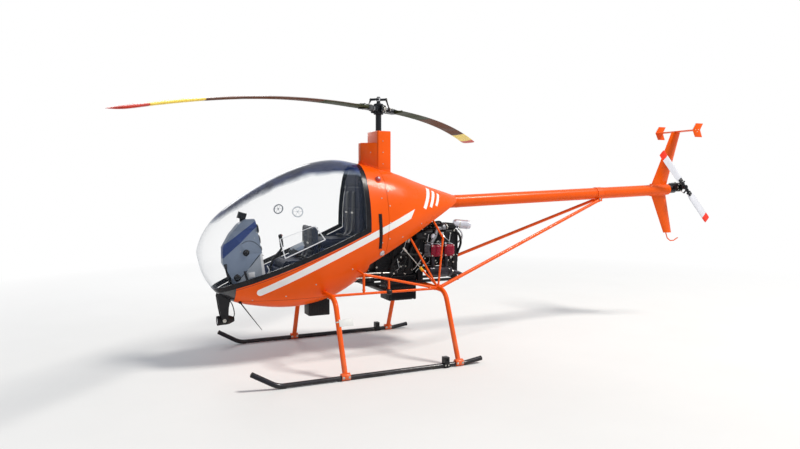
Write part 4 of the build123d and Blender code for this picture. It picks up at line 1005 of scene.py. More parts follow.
def shell_fasteners():
    # heads along the seams and the edge of the tub, the black strip and the round stud below it
    shape = Shape()
    places = [(0.034, 1.334), (0.034, 1.051), (0.034, 1.19), (0.034, 1.46), (0.677, 0.688), (0.105, 1.02),
        (0.105, 1.4), (0.92, 0.6), (0.36, 0.8), (1.18, 0.575), (-0.3, 1.17), (-0.1, 1.06)]
    for side in (1, -1):
        for x, z in places:
            shape.screw(on_side(x, z, side), side_normal(x, z, side), 0.006)
        out = side_normal(0.09, 0.927, side)
        at = on_side(0.09, 0.927, side, -0.002)
        shape.turned(at, at + out, [(0, 0), (0, 0.026), (0.006, 0.025), (0.014, 0.017), (0.017, 0)],
            "bright steel", 24)
    line = [on_side(lerp(0.134, 0.119, i / 10), lerp(1.268, 0.968, i / 10), 1, 0.0015) for i in range(11)]
    strap(shape, line, 0.028, "black rail", (1, 0, 0), 0.004)
    shape.done("shell_fasteners", "orange_shell", sharp=35.0)


def from_solid(node, kind, round_edge=0.004, angle=28.0, steps=2):
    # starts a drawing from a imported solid, with its hard edges rounded
    shape = Shape()
    bm = shape.bm
    bm.from_mesh(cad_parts[node].data)
    bmesh.ops.translate(bm, vec=(-MAST_X, 0, 0), verts=bm.verts[:])
    bmesh.ops.remove_doubles(bm, verts=bm.verts[:], dist=2e-5)
    bmesh.ops.dissolve_limit(bm, angle_limit=radians(0.8), verts=bm.verts[:], edges=bm.edges[:],
        use_dissolve_boundaries=False)
    paint = shape.index(kind)
    for face in bm.faces:
        face.material_index = paint
        face.smooth = True
    if round_edge:
        hard = [e for e in bm.edges if e.is_manifold and e.calc_face_angle(0.0) > radians(angle)]
        bmesh.ops.bevel(bm, geom=hard, offset=round_edge, segments=steps, profile=0.5, affect="EDGES",
            clamp_overlap=True, material=-1)
        for face in bm.faces:
            face.smooth = True
    return shape


def repaint(shape, kind, test):
    # gives the faces that pass the test another finish
    paint = shape.index(kind)
    shape.bm.normal_update()
    for face in shape.bm.faces:
        if test(face.calc_center_median(), face.normal):
            face.material_index = paint


def on_side(x, z, side=1, lift=0.0):
    return Vector((x, side * (pod_side(x, z) + lift), z))


def side_normal(x, z, side=1):
    step = 0.01
    run = (pod_side(x + step, z) - pod_side(x - step, z)) / (2 * step)
    rise = (pod_side(x, z + step) - pod_side(x, z - step)) / (2 * step)
    return Vector((-run, side, -rise)).normalized()


def strap(shape, points, width, kind, across=(0, 1, 0), thick=0.002):
    # flat webbing along a smooth line
    line = spline(points, 5)
    wide = Vector(across).normalized() * width / 2
    rings = []
    for i, p in enumerate(line):
        ahead = (line[min(i + 1, len(line) - 1)] - line[max(i - 1, 0)]).normalized()
        up = ahead.cross(wide).normalized() * thick / 2
        rings.append([p - wide - up, p + wide - up, p + wide + up, p - wide + up])
    shape.skin(rings, kind, ends=(True, True))


def ribbed(shape, start, end, radius, kind, ribs, depth):
    # round body with even ribs
    length = (Vector(end) - Vector(start)).length
    profile = [(0, 0)]
    for i in range(ribs):
        a, b = length * i / ribs, length * (i + 1) / ribs
        gap = (b - a) * 0.22
        profile += [(a + gap * 0.5, radius - depth), (a + gap, radius), (b - gap, radius),
            (b - gap * 0.5, radius - depth)]
    shape.turned(start, end, profile + [(length, 0)], kind, 20)


def clamp(shape, at, axis, radius, kind="zinc", width=0.01):
    # band with a screw
    at, axis = Vector(at), Vector(axis).normalized()
    r = radius + 0.0015
    shape.turned(at - axis * width / 2, at + axis,
        [(0, radius - 0.002), (0, r), (width, r), (width, radius - 0.002)], kind, 20)
    u, _ = side_frame(axis)
    shape.box(at + u * (r + 0.003), (0.009, 0.009, 0.009), kind, edge=0.001, steps=1)


class HELI_OT_canopy(bpy.types.Operator):
    """Clear bubble with its black rail, hinges, vents and sliding window"""
    bl_idname = "heli.canopy"
    bl_label = "Canopy"

    def execute(self, context):
        pod = drawn_pod()
        pod.bm.normal_update()
        panel(pod, "rail", "bubble_rail", "black_rail", ["canopy_frame"], SHELL_WALL, "black rail",
            body="canopy")
        panel(pod, "glass", "bubble_sheet", "canopy_acrylic", ["canopy_glass"], SHEET_WALL, "bubble",
            body="canopy")
        pod.bm.free()
        dress("black steel", "canopy_pins")
        hinges()
        rail_screws()
        vents()
        side_window()
        return {"FINISHED"}


def hinges():
    shape = Shape()
    for x in HINGE_X:
        low = Vector((x, HINGE_Y, sill_z(x) + SEAL_GAP / 2))
        along = Vector((1, 0, sill_z(x + 0.01) * 50 - sill_z(x - 0.01) * 50)).normalized()
        shape.turned(low - along * 0.0115, low + along,
            [(0, 0.0056), (0, 0.01), (0.023, 0.01), (0.023, 0.0056)], "black steel", 20)
        leaf = low + Vector((0, 0.026, 0.01))
        tilt = -atan2(along.z, along.x)
        shape.box(leaf, (0.023, 0.04, 0.006), "black steel", turn=(0.25, tilt, 0), edge=0.0015)
        for step in (-0.006, 0.006):
            shape.screw(leaf + along * step + Vector((0, 0.01, 0.003)), (0, -0.3, 1), 0.003)
    shape.done("hinge_eyes", "black_rail", body="canopy")


def rail_screws():
    shape = Shape()
    height = SEAL_GAP + sizes().rail / 2
    for side in (1, -1):
        for i in range(13):
            x = lerp(1.42, 0.34, i / 12)
            z = sill_z(x) + height
            shape.screw(on_side(x, z, side), side_normal(x, z, side), 0.0038, "black steel")
        for z in (1.3, 1.42, 1.53):
            x = ARCH_X + sizes().rail / 2
            shape.screw(on_side(x, z, side), side_normal(x, z, side), 0.0038, "black steel")
    shape.done("rail_screws", "black_rail", body="canopy")


def vents():
    # round air vents, one in each side of the bubble
    for side, name in ((1, "port"), (-1, "starboard")):
        shape = Shape()
        x, z = VENT
        normal = side_normal(x, z, side)
        at = on_side(x, z, side) - normal * 0.001
        shape.turned(at, at + normal, [(0, 0.036), (0, 0.046), (0.005, 0.046), (0.0075, 0.043),
            (0.0075, 0.039), (0.004, 0.036), (0, 0.036)], "vent rim", 40)
        u, v = side_frame(normal)
        for turn in (0, 1, 2):
            a = turn * pi / 3
            arm = (u * cos(a) + v * sin(a)) * 0.034
            shape.tube([at + normal * 0.007 - arm, at + normal * 0.007 + arm], 0.0014, "vent rim", 8)
        shape.turned(at, at + normal, [(0.006, 0), (0.006, 0.007), (0.012, 0.006), (0.012, 0)], "vent rim",
            16)
        shape.done("vent_" + name, "canopy_acrylic", body="canopy")


def side_window():
    # sliding pane in a pale channel
    a, b, c, d = WINDOW
    shape = Shape()
    rows = []
    for i in range(15):
        share = i / 14
        low = (lerp(b[0], c[0], share), lerp(b[1], c[1], share))
        high = (lerp(a[0], d[0], share), lerp(a[1], d[1], share))
        rows.append([on_side(lerp(low[0], high[0], k / 8), lerp(low[1], high[1], k / 8), 1, 0.004)
            for k in range(9)])
    shape.skin(rows, "window sheet", around=False)
    made = shape.done("window_pane", "canopy_acrylic", body="canopy", closed=False)
    thick = made.modifiers.new("wall", "SOLIDIFY")
    thick.thickness = 0.003
    apply_modifiers(made)
    shape = Shape()
    track = [a, b, c, d, a]
    for start, end in zip(track, track[1:]):
        line = [on_side(lerp(start[0], end[0], k / 12), lerp(start[1], end[1], k / 12), 1, 0.004)
            for k in range(13)]
        shape.tube(line, 0.0042 if start is not d else 0.0025, "white edge", 8)
    grip = on_side(0.93, 1.0, 1, 0.008)
    shape.box(grip, (0.03, 0.01, 0.014), "black plastic", turn=(0, 0.5, 0))
    shape.done("window_channel", "black_rail", body="canopy")


class HELI_OT_cabin(bpy.types.Operator):
    """Bulkhead, floor, console, controls, compass and belts"""
    bl_idname = "heli.cabin"
    bl_label = "Cabin"

    def execute(self, context):
        dress("lining", "firewall", "cabin_floor", "seat_box")
        console()
        compass()
        controls()
        belts()
        arch_band()
        return {"FINISHED"}


def console():
    shape = from_solid("instrument_console", "console paint", 0.007, 20.0, 3)
    bm = shape.bm
    bmesh.ops.triangulate(bm, faces=[f for f in bm.faces if len(f.verts) > 4])
    (x0, z0), (x1, z1) = CONSOLE_LINE

    def aft_of_line(co):
        return (co.z - z0) * (x1 - x0) - (co.x - x0) * (z1 - z0)

    def band_low(co):
        return co.z - 1.04 - (1.255 - co.x) * 0.943

    def band_high(co):
        return co.z - 1.206 - (1.138 - co.x) * 0.742

    def rear_edge(co):
        return co.x - 1.072 - (co.z - 0.65) * 0.1
    for cut in (aft_of_line, band_low, band_high, rear_edge, lambda co: co.z - 0.95, lambda co: co.x - 1.262):
        score(bm, cut)
    repaint(shape, "panel grey", lambda c, n: abs(n.y) > 0.8 and aft_of_line(c) > 0 and c.z < 0.95)
    repaint(shape, "white edge", lambda c, n: rear_edge(c) < 0 and c.z < 0.93 and abs(n.y) > 0.3)
    repaint(shape, "console side", lambda c, n: c.z > 0.95 and band_low(c) < 0 and c.x < 1.262)
    repaint(shape, "console side", lambda c, n: band_high(c) > 0)
    repaint(shape, "console band", lambda c, n: band_low(c) > 0 > band_high(c))
    repaint(shape, "black plastic", lambda c, n: n.x < -0.75 and c.z > 0.98)
    for side in (1, -1):
        for x, z, r in ((1.212, 0.957, 0.023), (1.2805, 0.752, 0.026)):
            at = Vector((x, side * console_wall(x, z), z))
            shape.turned(at, at + Vector((0, side, 0)), [(-0.004, 0), (-0.004, r * 1.2), (0.002, r * 1.2),
                (0.003, r), (0.014, r * 0.9), (0.016, 0)], "black plastic", 26)
        arc = [(1.092, 0.99), (1.118, 1.023), (1.15, 1.045), (1.181, 1.053), (1.215, 1.048), (1.246, 1.032)]
        shape.tube(spline([(x, side * console_wall(x, z), z) for x, z in arc], 6), 0.0022, "black plastic", 8)
        # painted shadow: a dark line along the lower edge of the housing, where it overhangs the lower panel
        low = [(1.283, 0.719), (1.22, 0.797), (1.16, 0.871), (1.105, 0.938)]
        shape.tube([(x, side * console_wall(x, z), z) for x, z in low], 0.0032, "black plastic", 8)
        for x, z in ((1.14, 1.0755), (1.257, 0.97), (1.13, 0.7), (1.2, 0.7), (1.12, 1.12)):
            shape.screw((x, side * console_wall(x, z), z), (0, side, 0.2), 0.004)
        shape.box((1.172, side * 0.1105, 0.775), (0.052, 0.003, 0.044), "white edge", turn=(0, 0.12, 0),
            edge=0.001)
        cable = spline([(1.047, side * 0.118, 0.845), (1.031, side * 0.122, 0.809),
            (1.041, side * 0.122, 0.777), (1.018, side * 0.118, 0.745)], 6)
        shape.tube(cable, 0.004, "white edge", 8)
    shape.box((1.352, 0.052, 0.78), (0.026, 0.016, 0.18), "black plastic", turn=(0, 0.24, 0), edge=0.003)
    for y, z, r in ((0.045, 1.15, 0.036), (-0.045, 1.15, 0.036), (0.045, 1.06, 0.036), (-0.045, 1.06, 0.036),
            (0.0, 0.985, 0.026), (0.062, 0.985, 0.02), (-0.062, 0.985, 0.02)):
        dial(shape, y, z, r)
    for i in range(6):
        at = Vector((face_x(0.925), -0.075 + 0.03 * i, 0.925))
        shape.turned(at, at + Vector((-1, 0, 0.14)), [(0, 0), (0, 0.006), (0.004, 0.0025), (0.016, 0.0032),
            (0.018, 0)], "zinc", 12)
    shape.done("console_body", "console_grey", ["instrument_console"], sharp=32.0)


def console_wall(x, z):
    # half width of the console at a place on its side
    return 0.1105 - max(0.0, (z - 0.96) * 0.25, (x - 1.2) * 0.33)


def face_x(z):
    # the console's rear face, which carries the dials
    return lerp(1.085, 1.125, (z - 0.96) / 0.27) if z > 0.96 else lerp(1.04, 1.085, (z - 0.638) / 0.322)


def dial(shape, y, z, r):
    at = Vector((face_x(z) - 0.001, y, z))
    out = Vector((-1, 0, 0.15)).normalized()
    shape.knob(at, at + out, [(0, r), (0.007, r), (0.009, r * 0.94), (0.006, r * 0.86), (0.004, r * 0.84)],
        "black plastic", 30)
    u, v = side_frame(out)
    for a in angles(12):
        spot = at + out * 0.0045 + (u * cos(a) + v * sin(a)) * r * 0.68
        shape.knob(spot, spot + out, [(0, r * 0.05), (0.0006, r * 0.05)], "placard", 6)
    tip = (u * cos(r * 90) + v * sin(r * 90)) * r * 0.6
    shape.tube([at + out * 0.0052, at + out * 0.0052 + tip], [r * 0.05, r * 0.015], "placard", 6)


def compass():
    shape = from_solid("compass", "black plastic", 0.006, 30.0, 3)
    at = Vector((1.186, -0.045, 1.262))
    shape.knob(at, at + Vector((-1, 0, -0.3)), [(0, 0.019), (0.003, 0.018), (0.001, 0.015)], "zinc", 24)
    for dx, dy in ((0.026, 0.016), (0.026, -0.016), (-0.022, 0.016), (-0.022, -0.016)):
        shape.screw((1.218 + dx, -0.045 + dy, 1.2835 + dx * 0.32), (-0.3, 0, 1), 0.003)
    shape.done("compass_case", "black_plastic", ["compass"])


def controls():
    # stick with boot and grip, lever with twist grip, pedals with ridged pads
    shape = Shape()
    line = spline([(1.005, 0, 0.646), (1.005, 0, 0.74), (0.996, 0, 0.8), (0.965, 0, 0.885), (0.905, 0, 0.955),
        (0.893, 0, 0.985), (0.896, 0, 1.02)], 6)
    shape.tube(line, 0.0105, "black steel", 16)
    folds = [(0.004 + 0.006 * i, 0.024 - 0.0015 * i - (0.003 if i % 2 else 0)) for i in range(9)]
    boot = [(0, 0.024)] + folds + [(0.062, 0.0105), (0.062, 0)]
    shape.turned((1.005, 0, 0.6385), (1.005, 0, 0.75), boot, "rubber", 22)
    grip = spline([(0.892, 0, 0.985), (0.895, 0, 1.02), (0.9, 0, 1.055), (0.907, 0, 1.088)], 5)
    shape.tube(grip, [0.0155 + 0.0016 * sin(i * 2.1) for i in range(len(grip))], "rubber", 18)
    shape.turned((0.906, 0, 1.086), (0.912, 0, 1.1), [(0, 0), (0, 0.0155), (0.006, 0.014), (0.009, 0)],
        "black plastic", 18)
    shape.turned((0.899, 0, 1.083), (0.875, 0, 1.086), [(0, 0.005), (0.016, 0.004), (0.016, 0)], "red lens",
        12)
    shape.done("stick_and_grip", "black_plastic", ["cyclic_stick"])
    shape = Shape()
    y = 0.22
    shape.tube(spline([(0.52, y, 0.8), (0.61, y, 0.842), (0.7, y, 0.884), (0.795, y, 0.928)], 4), 0.0095,
        "black steel", 16)
    ribbed(shape, (0.79, y, 0.925), (0.885, y, 0.9695), 0.0158, "rubber", 14, 0.0015)
    shape.turned((0.885, y, 0.9695), (0.9, y, 0.9765), [(0, 0.013), (0.005, 0.013), (0.006, 0)],
        "black plastic", 18)
    shape.knob((0.52, 0.1903, 0.8), (0.52, 0.3, 0.8), [(0, 0.012), (0.042, 0.01)], "zinc", 20)
    shape.box((0.835, y, 0.969), (0.05, 0.022, 0.022), "black plastic", turn=(0, -0.435, 0))
    shape.done("lever_and_grip", "black_plastic", ["collective_lever"])
    shape = Shape()
    for side in (1, -1):
        y = side * 0.16
        shape.tube([(1.22, y, 0.6385), (1.22, y, 0.735)], 0.0078, "zinc", 14)
        shape.knob((1.22, y, 0.6383), (1.22, y, 0.66), [(0, 0.017), (0.004, 0.017), (0.012, 0.009)],
            "black steel", 18)
        shape.box((1.227, y, 0.77), (0.014, 0.038, 0.09), "black plastic", turn=(0, radians(15), 0))
        for i in range(7):
            rise = -0.036 + 0.012 * i
            shape.box((1.2195 + rise * 0.268, y, 0.772 + rise * 0.966), (0.004, 0.034, 0.004), "rubber",
                turn=(0, radians(15), 0), edge=0.001)
    shape.done("pedal_pads", "black_plastic", ["pedals"])
    shape = Shape()
    shape.box((0.815, 0.205, 0.998), (0.125, 0.01, 0.04), "panel grey", turn=(0, 0.43, 0), edge=0.003)
    shape.box((0.815, 0.205, 0.975), (0.12, 0.014, 0.03), "console paint", turn=(0, 0.43, 0), edge=0.003)
    shape.done("lever_guard", "console_grey")


def belts():
    shape = Shape()
    for top, high, low, seat, front in (((0.262, 1.44), (0.268, 1.3), (0.272, 1.12), (0.3, 1.066), 0.43),
            ((0.668, 1.15), (0.672, 1.05), (0.676, 0.93), (0.7, 0.889), 0.8)):
        for side in (1, -1):
            y = side * 0.075
            strap(shape, [(top[0] - 0.01, y, top[1] + 0.012), (top[0] + 0.012, y, top[1]),
                (high[0] + 0.012, y, high[1]), (low[0] + 0.014, y * 0.8, low[1]),
                (seat[0] + 0.02, y * 0.5, seat[1] + 0.004)], 0.044, "webbing")
            strap(shape, [(seat[0] - 0.01, side * 0.178, seat[1] - 0.012),
                (seat[0] + 0.02, side * 0.165, seat[1] + 0.004),
                (seat[0] + 0.05, side * 0.09, seat[1] + 0.009), (front - 0.07, side * 0.02, seat[1] + 0.009)],
                0.046, "webbing", (1, side * 0.5, 0))
            shape.box((high[0] + 0.015, y, high[1] - 0.03), (0.005, 0.046, 0.014), "zinc", edge=0.001)
        shape.turned((front - 0.06, 0, seat[1] + 0.004), (front - 0.06, 0, seat[1] + 0.1),
            [(0, 0), (0, 0.027), (0.01, 0.027), (0.014, 0.02), (0.016, 0)], "black plastic", 24)
    shape.done("belts", "seat_leather")


def arch_band():
    # dark trim inside the ring behind the canopy
    shape = Shape()
    rings = []
    for x, inset in ((0.216, 0.0112), (0.216, 0.03), (0.2085, 0.034), (0.2085, 0.0112)):
        width, top, wide, bottom = pod_row(x)
        ring = pod_outline(x, width - inset, top - inset, wide, bottom + inset)
        rings.append(ring[:len(ring) // 2 + 1])
    shape.skin(rings + rings[:1], "black rail", around=False)
    shape.done("arch_trim", "cabin_grey", closed=False)


def rounded_panel(low, high, edge):
    shape = Shape()
    centre = [(a + b) / 2 for a, b in zip(low, high)]
    shape.box(centre, [b - a for a, b in zip(low, high)], "leather", edge=edge, steps=3)
    return shape


def tall_back(low, high):
    # backrest that narrows to a round top
    shape = Shape()
    half, top = high[1], high[2]
    shoulder = 1.33
    edge = [(half, low[2]), (half, shoulder)]
    for a in (i / 9 * pi / 2 for i in range(1, 9)):
        edge.append((lerp(0.05, half, cos(a) ** 0.8), lerp(shoulder, top, sin(a))))
    edge.append((0.05, top))
    outline = [(-half, low[2])] + edge + [(-y, z) for y, z in edge[:0:-1]]
    x = (low[0] + high[0]) / 2
    shape.plate([(x, y, z) for y, z in outline], "leather", (1, 0, 0), high[0] - low[0], edge=0.01)
    return shape


# seats: piece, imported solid, axis that points away from its rest, sewn channels as (axis, place)
PADS = [
    ("front_seat_pad", "front_cushion", 2, [(1, -0.062), (1, 0.062), (0, 0.87)]),
    ("front_back_pad", "front_backrest", 0, [(2, 0.96), (2, 1.08), (1, 0.0)]),
    ("rear_seat_pad", "rear_cushion", 2, [(1, -0.062), (1, 0.062), (0, 0.5)]),
    ("rear_back_pad", "rear_backrest", 0, [(1, -0.115), (1, 0.115), (2, 1.31), (2, 1.5)]),
]
PAD_INSET = 0.005
VOXEL = 0.006
SEW_DEPTH = 0.005
SEW_WIDTH = 0.007


class HELI_OT_seats(bpy.types.Operator):
    """Filled seat and back pads with sewn channels"""
    bl_idname = "heli.seats"
    bl_label = "Seats"

    def execute(self, context):
        pads = []
        for name, node, axis, channels in PADS:
            low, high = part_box(node)
            low = [low.x - MAST_X + PAD_INSET, low.y + PAD_INSET, low.z + PAD_INSET]
            high = [high.x - MAST_X - PAD_INSET, high.y - PAD_INSET, high.z - PAD_INSET]
            low[axis] -= PAD_INSET * 0.9
            shape = tall_back(low, high) if node == "rear_backrest" else rounded_panel(low, high, 0.014)
            piece = shape.done(name, "seat_leather", [node])
            even = piece.modifiers.new("even", "REMESH")
            even.mode = "VOXEL"
            even.voxel_size = VOXEL
            apply_modifiers(piece)
            pads.append((piece, axis, low[axis], channels))
        starts = [coordinates(piece.data) for piece, _, _, _ in pads]
        fill_pads(context, pads)
        for (piece, axis, level, channels), start in zip(pads, starts):
            sew_pad(piece, start, axis, level, channels)
            soft = piece.modifiers.new("soft", "SUBSURF")
            soft.levels = 1
            soft.render_levels = 1
            apply_modifiers(piece)
            for face in piece.data.polygons:
                face.use_smooth = True
            piece.data.materials.clear()
            piece.data.materials.append(finishes("leather"))
        return {"FINISHED"}


def fill_pads(context, pads):
    # air pressure swells the pads, all in the same run of frames
    for piece, _, _, _ in pads:
        cloth = piece.modifiers.new("fill", "CLOTH")
        cloth.settings.use_pressure = True
        cloth.settings.uniform_pressure_force = 4.0
        cloth.settings.effector_weights.gravity = 0.0
        cloth.point_cache.frame_start = 1
        cloth.point_cache.frame_end = 20
    for step in range(1, 21):
        context.scene.frame_set(step)
    for piece, _, _, _ in pads:
        apply_modifiers(piece)
    context.scene.frame_set(1)


def sew_pad(piece, start, axis, level, channels):
    now = coordinates(piece.data)
    moved = now - start
    length = np.linalg.norm(moved, axis=1, keepdims=True)
    now = start + moved * np.minimum(1.0, sizes().puff / np.maximum(length, 1e-9))
    top = start[:, axis].max()
    share = np.clip((start[:, axis] - level) / (top - level), 0, 1)
    for across, place in channels:
        away = start[:, across] - place - (MAST_X if across == 0 else 0)
        now[:, axis] -= SEW_DEPTH * share ** 3 * np.exp(-(away / SEW_WIDTH) ** 2)
    rest_level = level + (MAST_X if axis == 0 else 0)
    now[:, axis] = np.maximum(now[:, axis], rest_level)
    piece.data.vertices.foreach_set("co", now.astype(np.float32).ravel())
    piece.data.update()


def coordinates(mesh):
    found = np.empty(len(mesh.vertices) * 3, np.float32)
    mesh.vertices.foreach_get("co", found)
    return found.reshape(-1, 3).astype(float)


def weld(shape, at, towards, radius):
    # bead round a tube where it meets another
    at = Vector(at)
    axis = (Vector(towards) - at).normalized()
    shape.turned(at, at + axis, [(0, radius - 0.002), (0.002, radius + 0.003), (0.007, radius + 0.0035),
        (0.012, radius + 0.001), (0.013, radius - 0.002)], "orange tube", 18)


class HELI_OT_gear(bpy.types.Operator):
    """Skids, cross tubes, foot collars and handling lugs"""
    bl_idname = "heli.gear"
    bl_label = "Landing gear"

    def execute(self, context):
        dress("skid steel", "skid_port", "skid_starboard")
        dress("orange tube", "front_cross_tube", "rear_cross_tube")
        shape = from_solid("skid_fittings", "orange tube", 0.003, 35.0)
        repaint(shape, "black steel", lambda c, n: abs(c.x - HANDLING_X) < 0.04)
        for side in (1, -1):
            for x in LEG_X:
                for step in (-0.024, 0.024):
                    shape.bolt((x + step, side * (HALF_TRACK + 0.0285), 0.03), (0, side, 0), 0.006, 0.006)
                    shape.bolt((x + step, side * (HALF_TRACK - 0.0285), 0.03), (0, -side, 0), 0.006, 0.006)
            shape.bolt((HANDLING_X - 0.014, side * (HALF_TRACK + 0.028), 0.024), (0, side, 0), 0.004, 0.005)
            shape.bolt((HANDLING_X + 0.014, side * (HALF_TRACK + 0.028), 0.024), (0, side, 0), 0.004, 0.005)
        shape.done("foot_collars", "orange_tube", ["skid_fittings"])
        shoes()
        leg_details()
        return {"FINISHED"}


def shoes():
    # wear strips under the skids and plugs in their ends
    shape = Shape()
    for side in (1, -1):
        y = side * HALF_TRACK
        for low, high in ((-0.44, -0.33), (-0.16, 0.26), (0.66, 1.06)):
            arc = [(sin(a) * 0.0212, 0.02 - cos(a) * 0.0204) for a in (-1.0, -0.6, -0.2, 0.2, 0.6, 1.0)]
            stops = (low, low + 0.01, high - 0.01, high)
            rings = [[Vector((x, y + a, max(b, 0.0))) for a, b in arc] for x in stops]
            shape.skin(rings, "bright steel", around=False)
        for end, slope in (((1.312, y, 0.132), (0.192, 0, 0.112)), ((-0.629, y, 0.043), (-0.155, 0, 0.023))):
            end, out = Vector(end), Vector(slope).normalized()
            shape.turned(end - out * 0.002, end + out, [(0, 0), (0, 0.0205), (0.004, 0.0205), (0.007, 0.017),
                (0.008, 0)], "rubber", 20)
    shape.done("skid_shoes", "black_steel", closed=False)


def leg_details():
    # clamps where the frame stands on the cross tubes, and a bare plate on the near front leg
    shape = Shape()
    for x in LEG_X:
        for side in (1, -1):
            clamp(shape, (x, side * 0.33, 0.6), (0, 1, 0), 0.021, "orange tube", 0.03)
            clamp(shape, (x, side * 0.415, 0.6), (0, 1, 0), 0.021, "orange tube", 0.03)
    knee, foot = Vector((0.59, 0.505, 0.6)), Vector((0.59, 0.752, 0.02))
    at = knee.lerp(foot, 0.31)
    clamp(shape, at, foot - knee, 0.0205)
    shape.box(at + Vector((-0.06, 0.026, 0.0)), (0.12, 0.003, 0.058), "placard", turn=(0.4, 0, 0), edge=0.001)
    shape.done("leg_clamps", "orange_tube")


class HELI_OT_frame(bpy.types.Operator):
    """Truss tubes with welds, tags, joints and control rods"""
    bl_idname = "heli.frame"
    bl_label = "Frame"

    def execute(self, context):
        dress("orange tube", "frame_port", "frame_starboard", "frame_diagonals", "tail_strut_port",
            "tail_strut_starboard", "boom_collar")
        dress("black steel", "engine_bearers")
        shape = Shape()
        for side in (1, -1):
            y = side * 0.375
            node, top, low = Vector((-0.414, y, 0.6)), Vector((0.29, y, 0.762)), Vector((0.29, y, 0.612))
            spread, brace = Vector((-0.49, side * 0.32, 1.04)), Vector((-0.118, side * 0.16, 1.24))
            middle, front = Vector((0.06, y, 0.612)), Vector((0.59, y, 0.6))
            strut_end = Vector((-2.52, side * 0.04, boom_z(-2.52) - 0.068))
            for start, end, radius, gap in (
                    (node, spread, 0.009, 0.03), (node, brace, 0.009, 0.03), (node, top, 0.011, 0.03),
                    (node, front, 0.011, 0.03), (node, strut_end, 0.016, 0.03), (top, node, 0.011, 0.012),
                    (spread, node, 0.009, 0.012), (strut_end, node, 0.016, 0.012), (low, top, 0.011, 0.012),
                    (middle, Vector((0.06, y, 0.7)), 0.009, 0.012)):
                weld(shape, start + (end - start).normalized() * gap, end, radius)
            shape.bolt(strut_end + Vector((0.012, side * 0.018, 0.006)), (0, side, -0.3), 0.007, 0.007)
        shape.done("frame_welds", "orange_tube")
        rods()
        return {"FINISHED"}


def rods():
    # control rods, the tag on the near rod and the joint ahead of the radiator
    shape = Shape()
    foot, tag = Vector((-0.402, 0.362, 0.628)), Vector((-0.312, 0.255, 0.76))
    high = Vector((-0.149, 0.25, 0.939))
    ahead = (high - tag).normalized()
    shape.tube([foot, tag], 0.008, "orange tube", 14)
    shape.tube([tag, high], 0.0045, "zinc", 12)
    shape.turned(tag - ahead * 0.02, tag + ahead, [(0, 0.0078), (0, 0.0125), (0.045, 0.0125), (0.045, 0.004)],
        "yellow tag", 14)
    shape.turned(high - ahead * 0.02, high + ahead, [(0, 0.004), (0, 0.01), (0.05, 0.01), (0.05, 0)], "zinc",
        14)
    level = [Vector((0.3, 0.215, 0.748)), Vector((0.06, 0.215, 0.742)), Vector((-0.02, 0.215, 0.74))]
    shape.tube(level, 0.0065, "zinc", 14)
    shape.tube([level[0] + Vector((0, 0, -0.04)), level[1] + Vector((0, 0, -0.035))], 0.0045, "zinc", 12)
    for p in level:
        clamp(shape, p, (1, 0, 0), 0.0075, "black steel", 0.018)
    joint = Vector((0.06, 0.3745, 0.6))
    shape.turned(joint - Vector((0.022, 0, 0)), joint + Vector((1, 0, 0)),
        [(0, 0.01), (0, 0.02), (0.012, 0.025), (0.032, 0.025), (0.044, 0.02), (0.044, 0.01)], "black steel",
        22)
    shape.tube([(0.06, 0.3745, 0.6), (0.062, 0.3, 0.66), (0.06, 0.215, 0.742)], 0.007, "black steel", 12)
    shape.done("control_rods", "bright_steel")


class HELI_OT_engine(bpy.types.Operator):
    """Flat engine with carburettors, hoses, exhaust, radiator, belt housing and gearbox"""
    bl_idname = "heli.engine"
    bl_label = "Engine"

    def execute(self, context):
        engine_block()
        rocker_covers()
        intake()
        exhaust()
        radiator()
        belt_housing()
        mast_gearbox()
        hoses()
        return {"FINISHED"}


def engine_block():
    shape = from_solid("engine_block", "engine black", 0.006, 40.0)
    for side in (1, -1):
        for x in CYLINDER_X:
            for i in range(9):
                wide = 0.122 - 0.01 * abs(i - 4) / 4
                shape.box((x, side * lerp(0.146, 0.236, i / 8), CYLINDER_Z), (wide, 0.0032, wide - 0.006),
                    "cast alloy", edge=0.0012, steps=1)
            for a, b in ((-0.045, 0.045), (0.045, 0.045), (-0.045, -0.045), (0.045, -0.045)):
                at = Vector((x + a, side * 0.13, CYLINDER_Z + b))
                shape.tube([at, at + Vector((0, side * 0.127, 0))], 0.004, "zinc", 8)
            shape.tube([(x + 0.03, side * 0.13, 0.985), (x + 0.03, side * 0.25, 0.985)], 0.009, "spun can",
                12)
        for i in range(5):
            x = lerp(-0.7, -0.35, i / 4)
            shape.box((x, side * 0.132, 0.84), (0.01, 0.01, 0.09), "engine black", edge=0.002)
            shape.bolt((x, side * 0.134, 0.797), (0, side, 0), 0.0055, 0.006)
            shape.bolt((x + 0.03, side * 0.1305, 1.065), (0, side, 0), 0.0045, 0.005)
        shape.knob((-0.62, side * 0.095, 0.8), (-0.4, side * 0.095, 0.8),
            [(0, 0.032), (0.005, 0.035), (0.15, 0.035), (0.155, 0.026), (0.2, 0.024)], "engine black", 24)
    shape.knob((-0.752, 0, 0.93), (-0.8, 0, 0.93), [(0, 0.1), (0.012, 0.1), (0.018, 0.092), (0.02, 0.06)],
        "engine black", 40)
    for a in angles(8):
        shape.bolt((-0.764, 0.09 * cos(a), 0.93 + 0.09 * sin(a)), (-1, 0, 0), 0.005, 0.006)
    shape.box((-0.52, 0.0, 1.103), (0.16, 0.1, 0.03), "engine black")
    for i in range(4):
        at = Vector((-0.58 + 0.04 * i, 0.03, 1.115))
        shape.knob(at, at + Vector((0, 0, 1)), [(0, 0.01), (0.018, 0.01), (0.03, 0.006)], "rubber", 14)
    shape.done("engine_case", "cast_alloy", ["engine_block"], sharp=32.0)


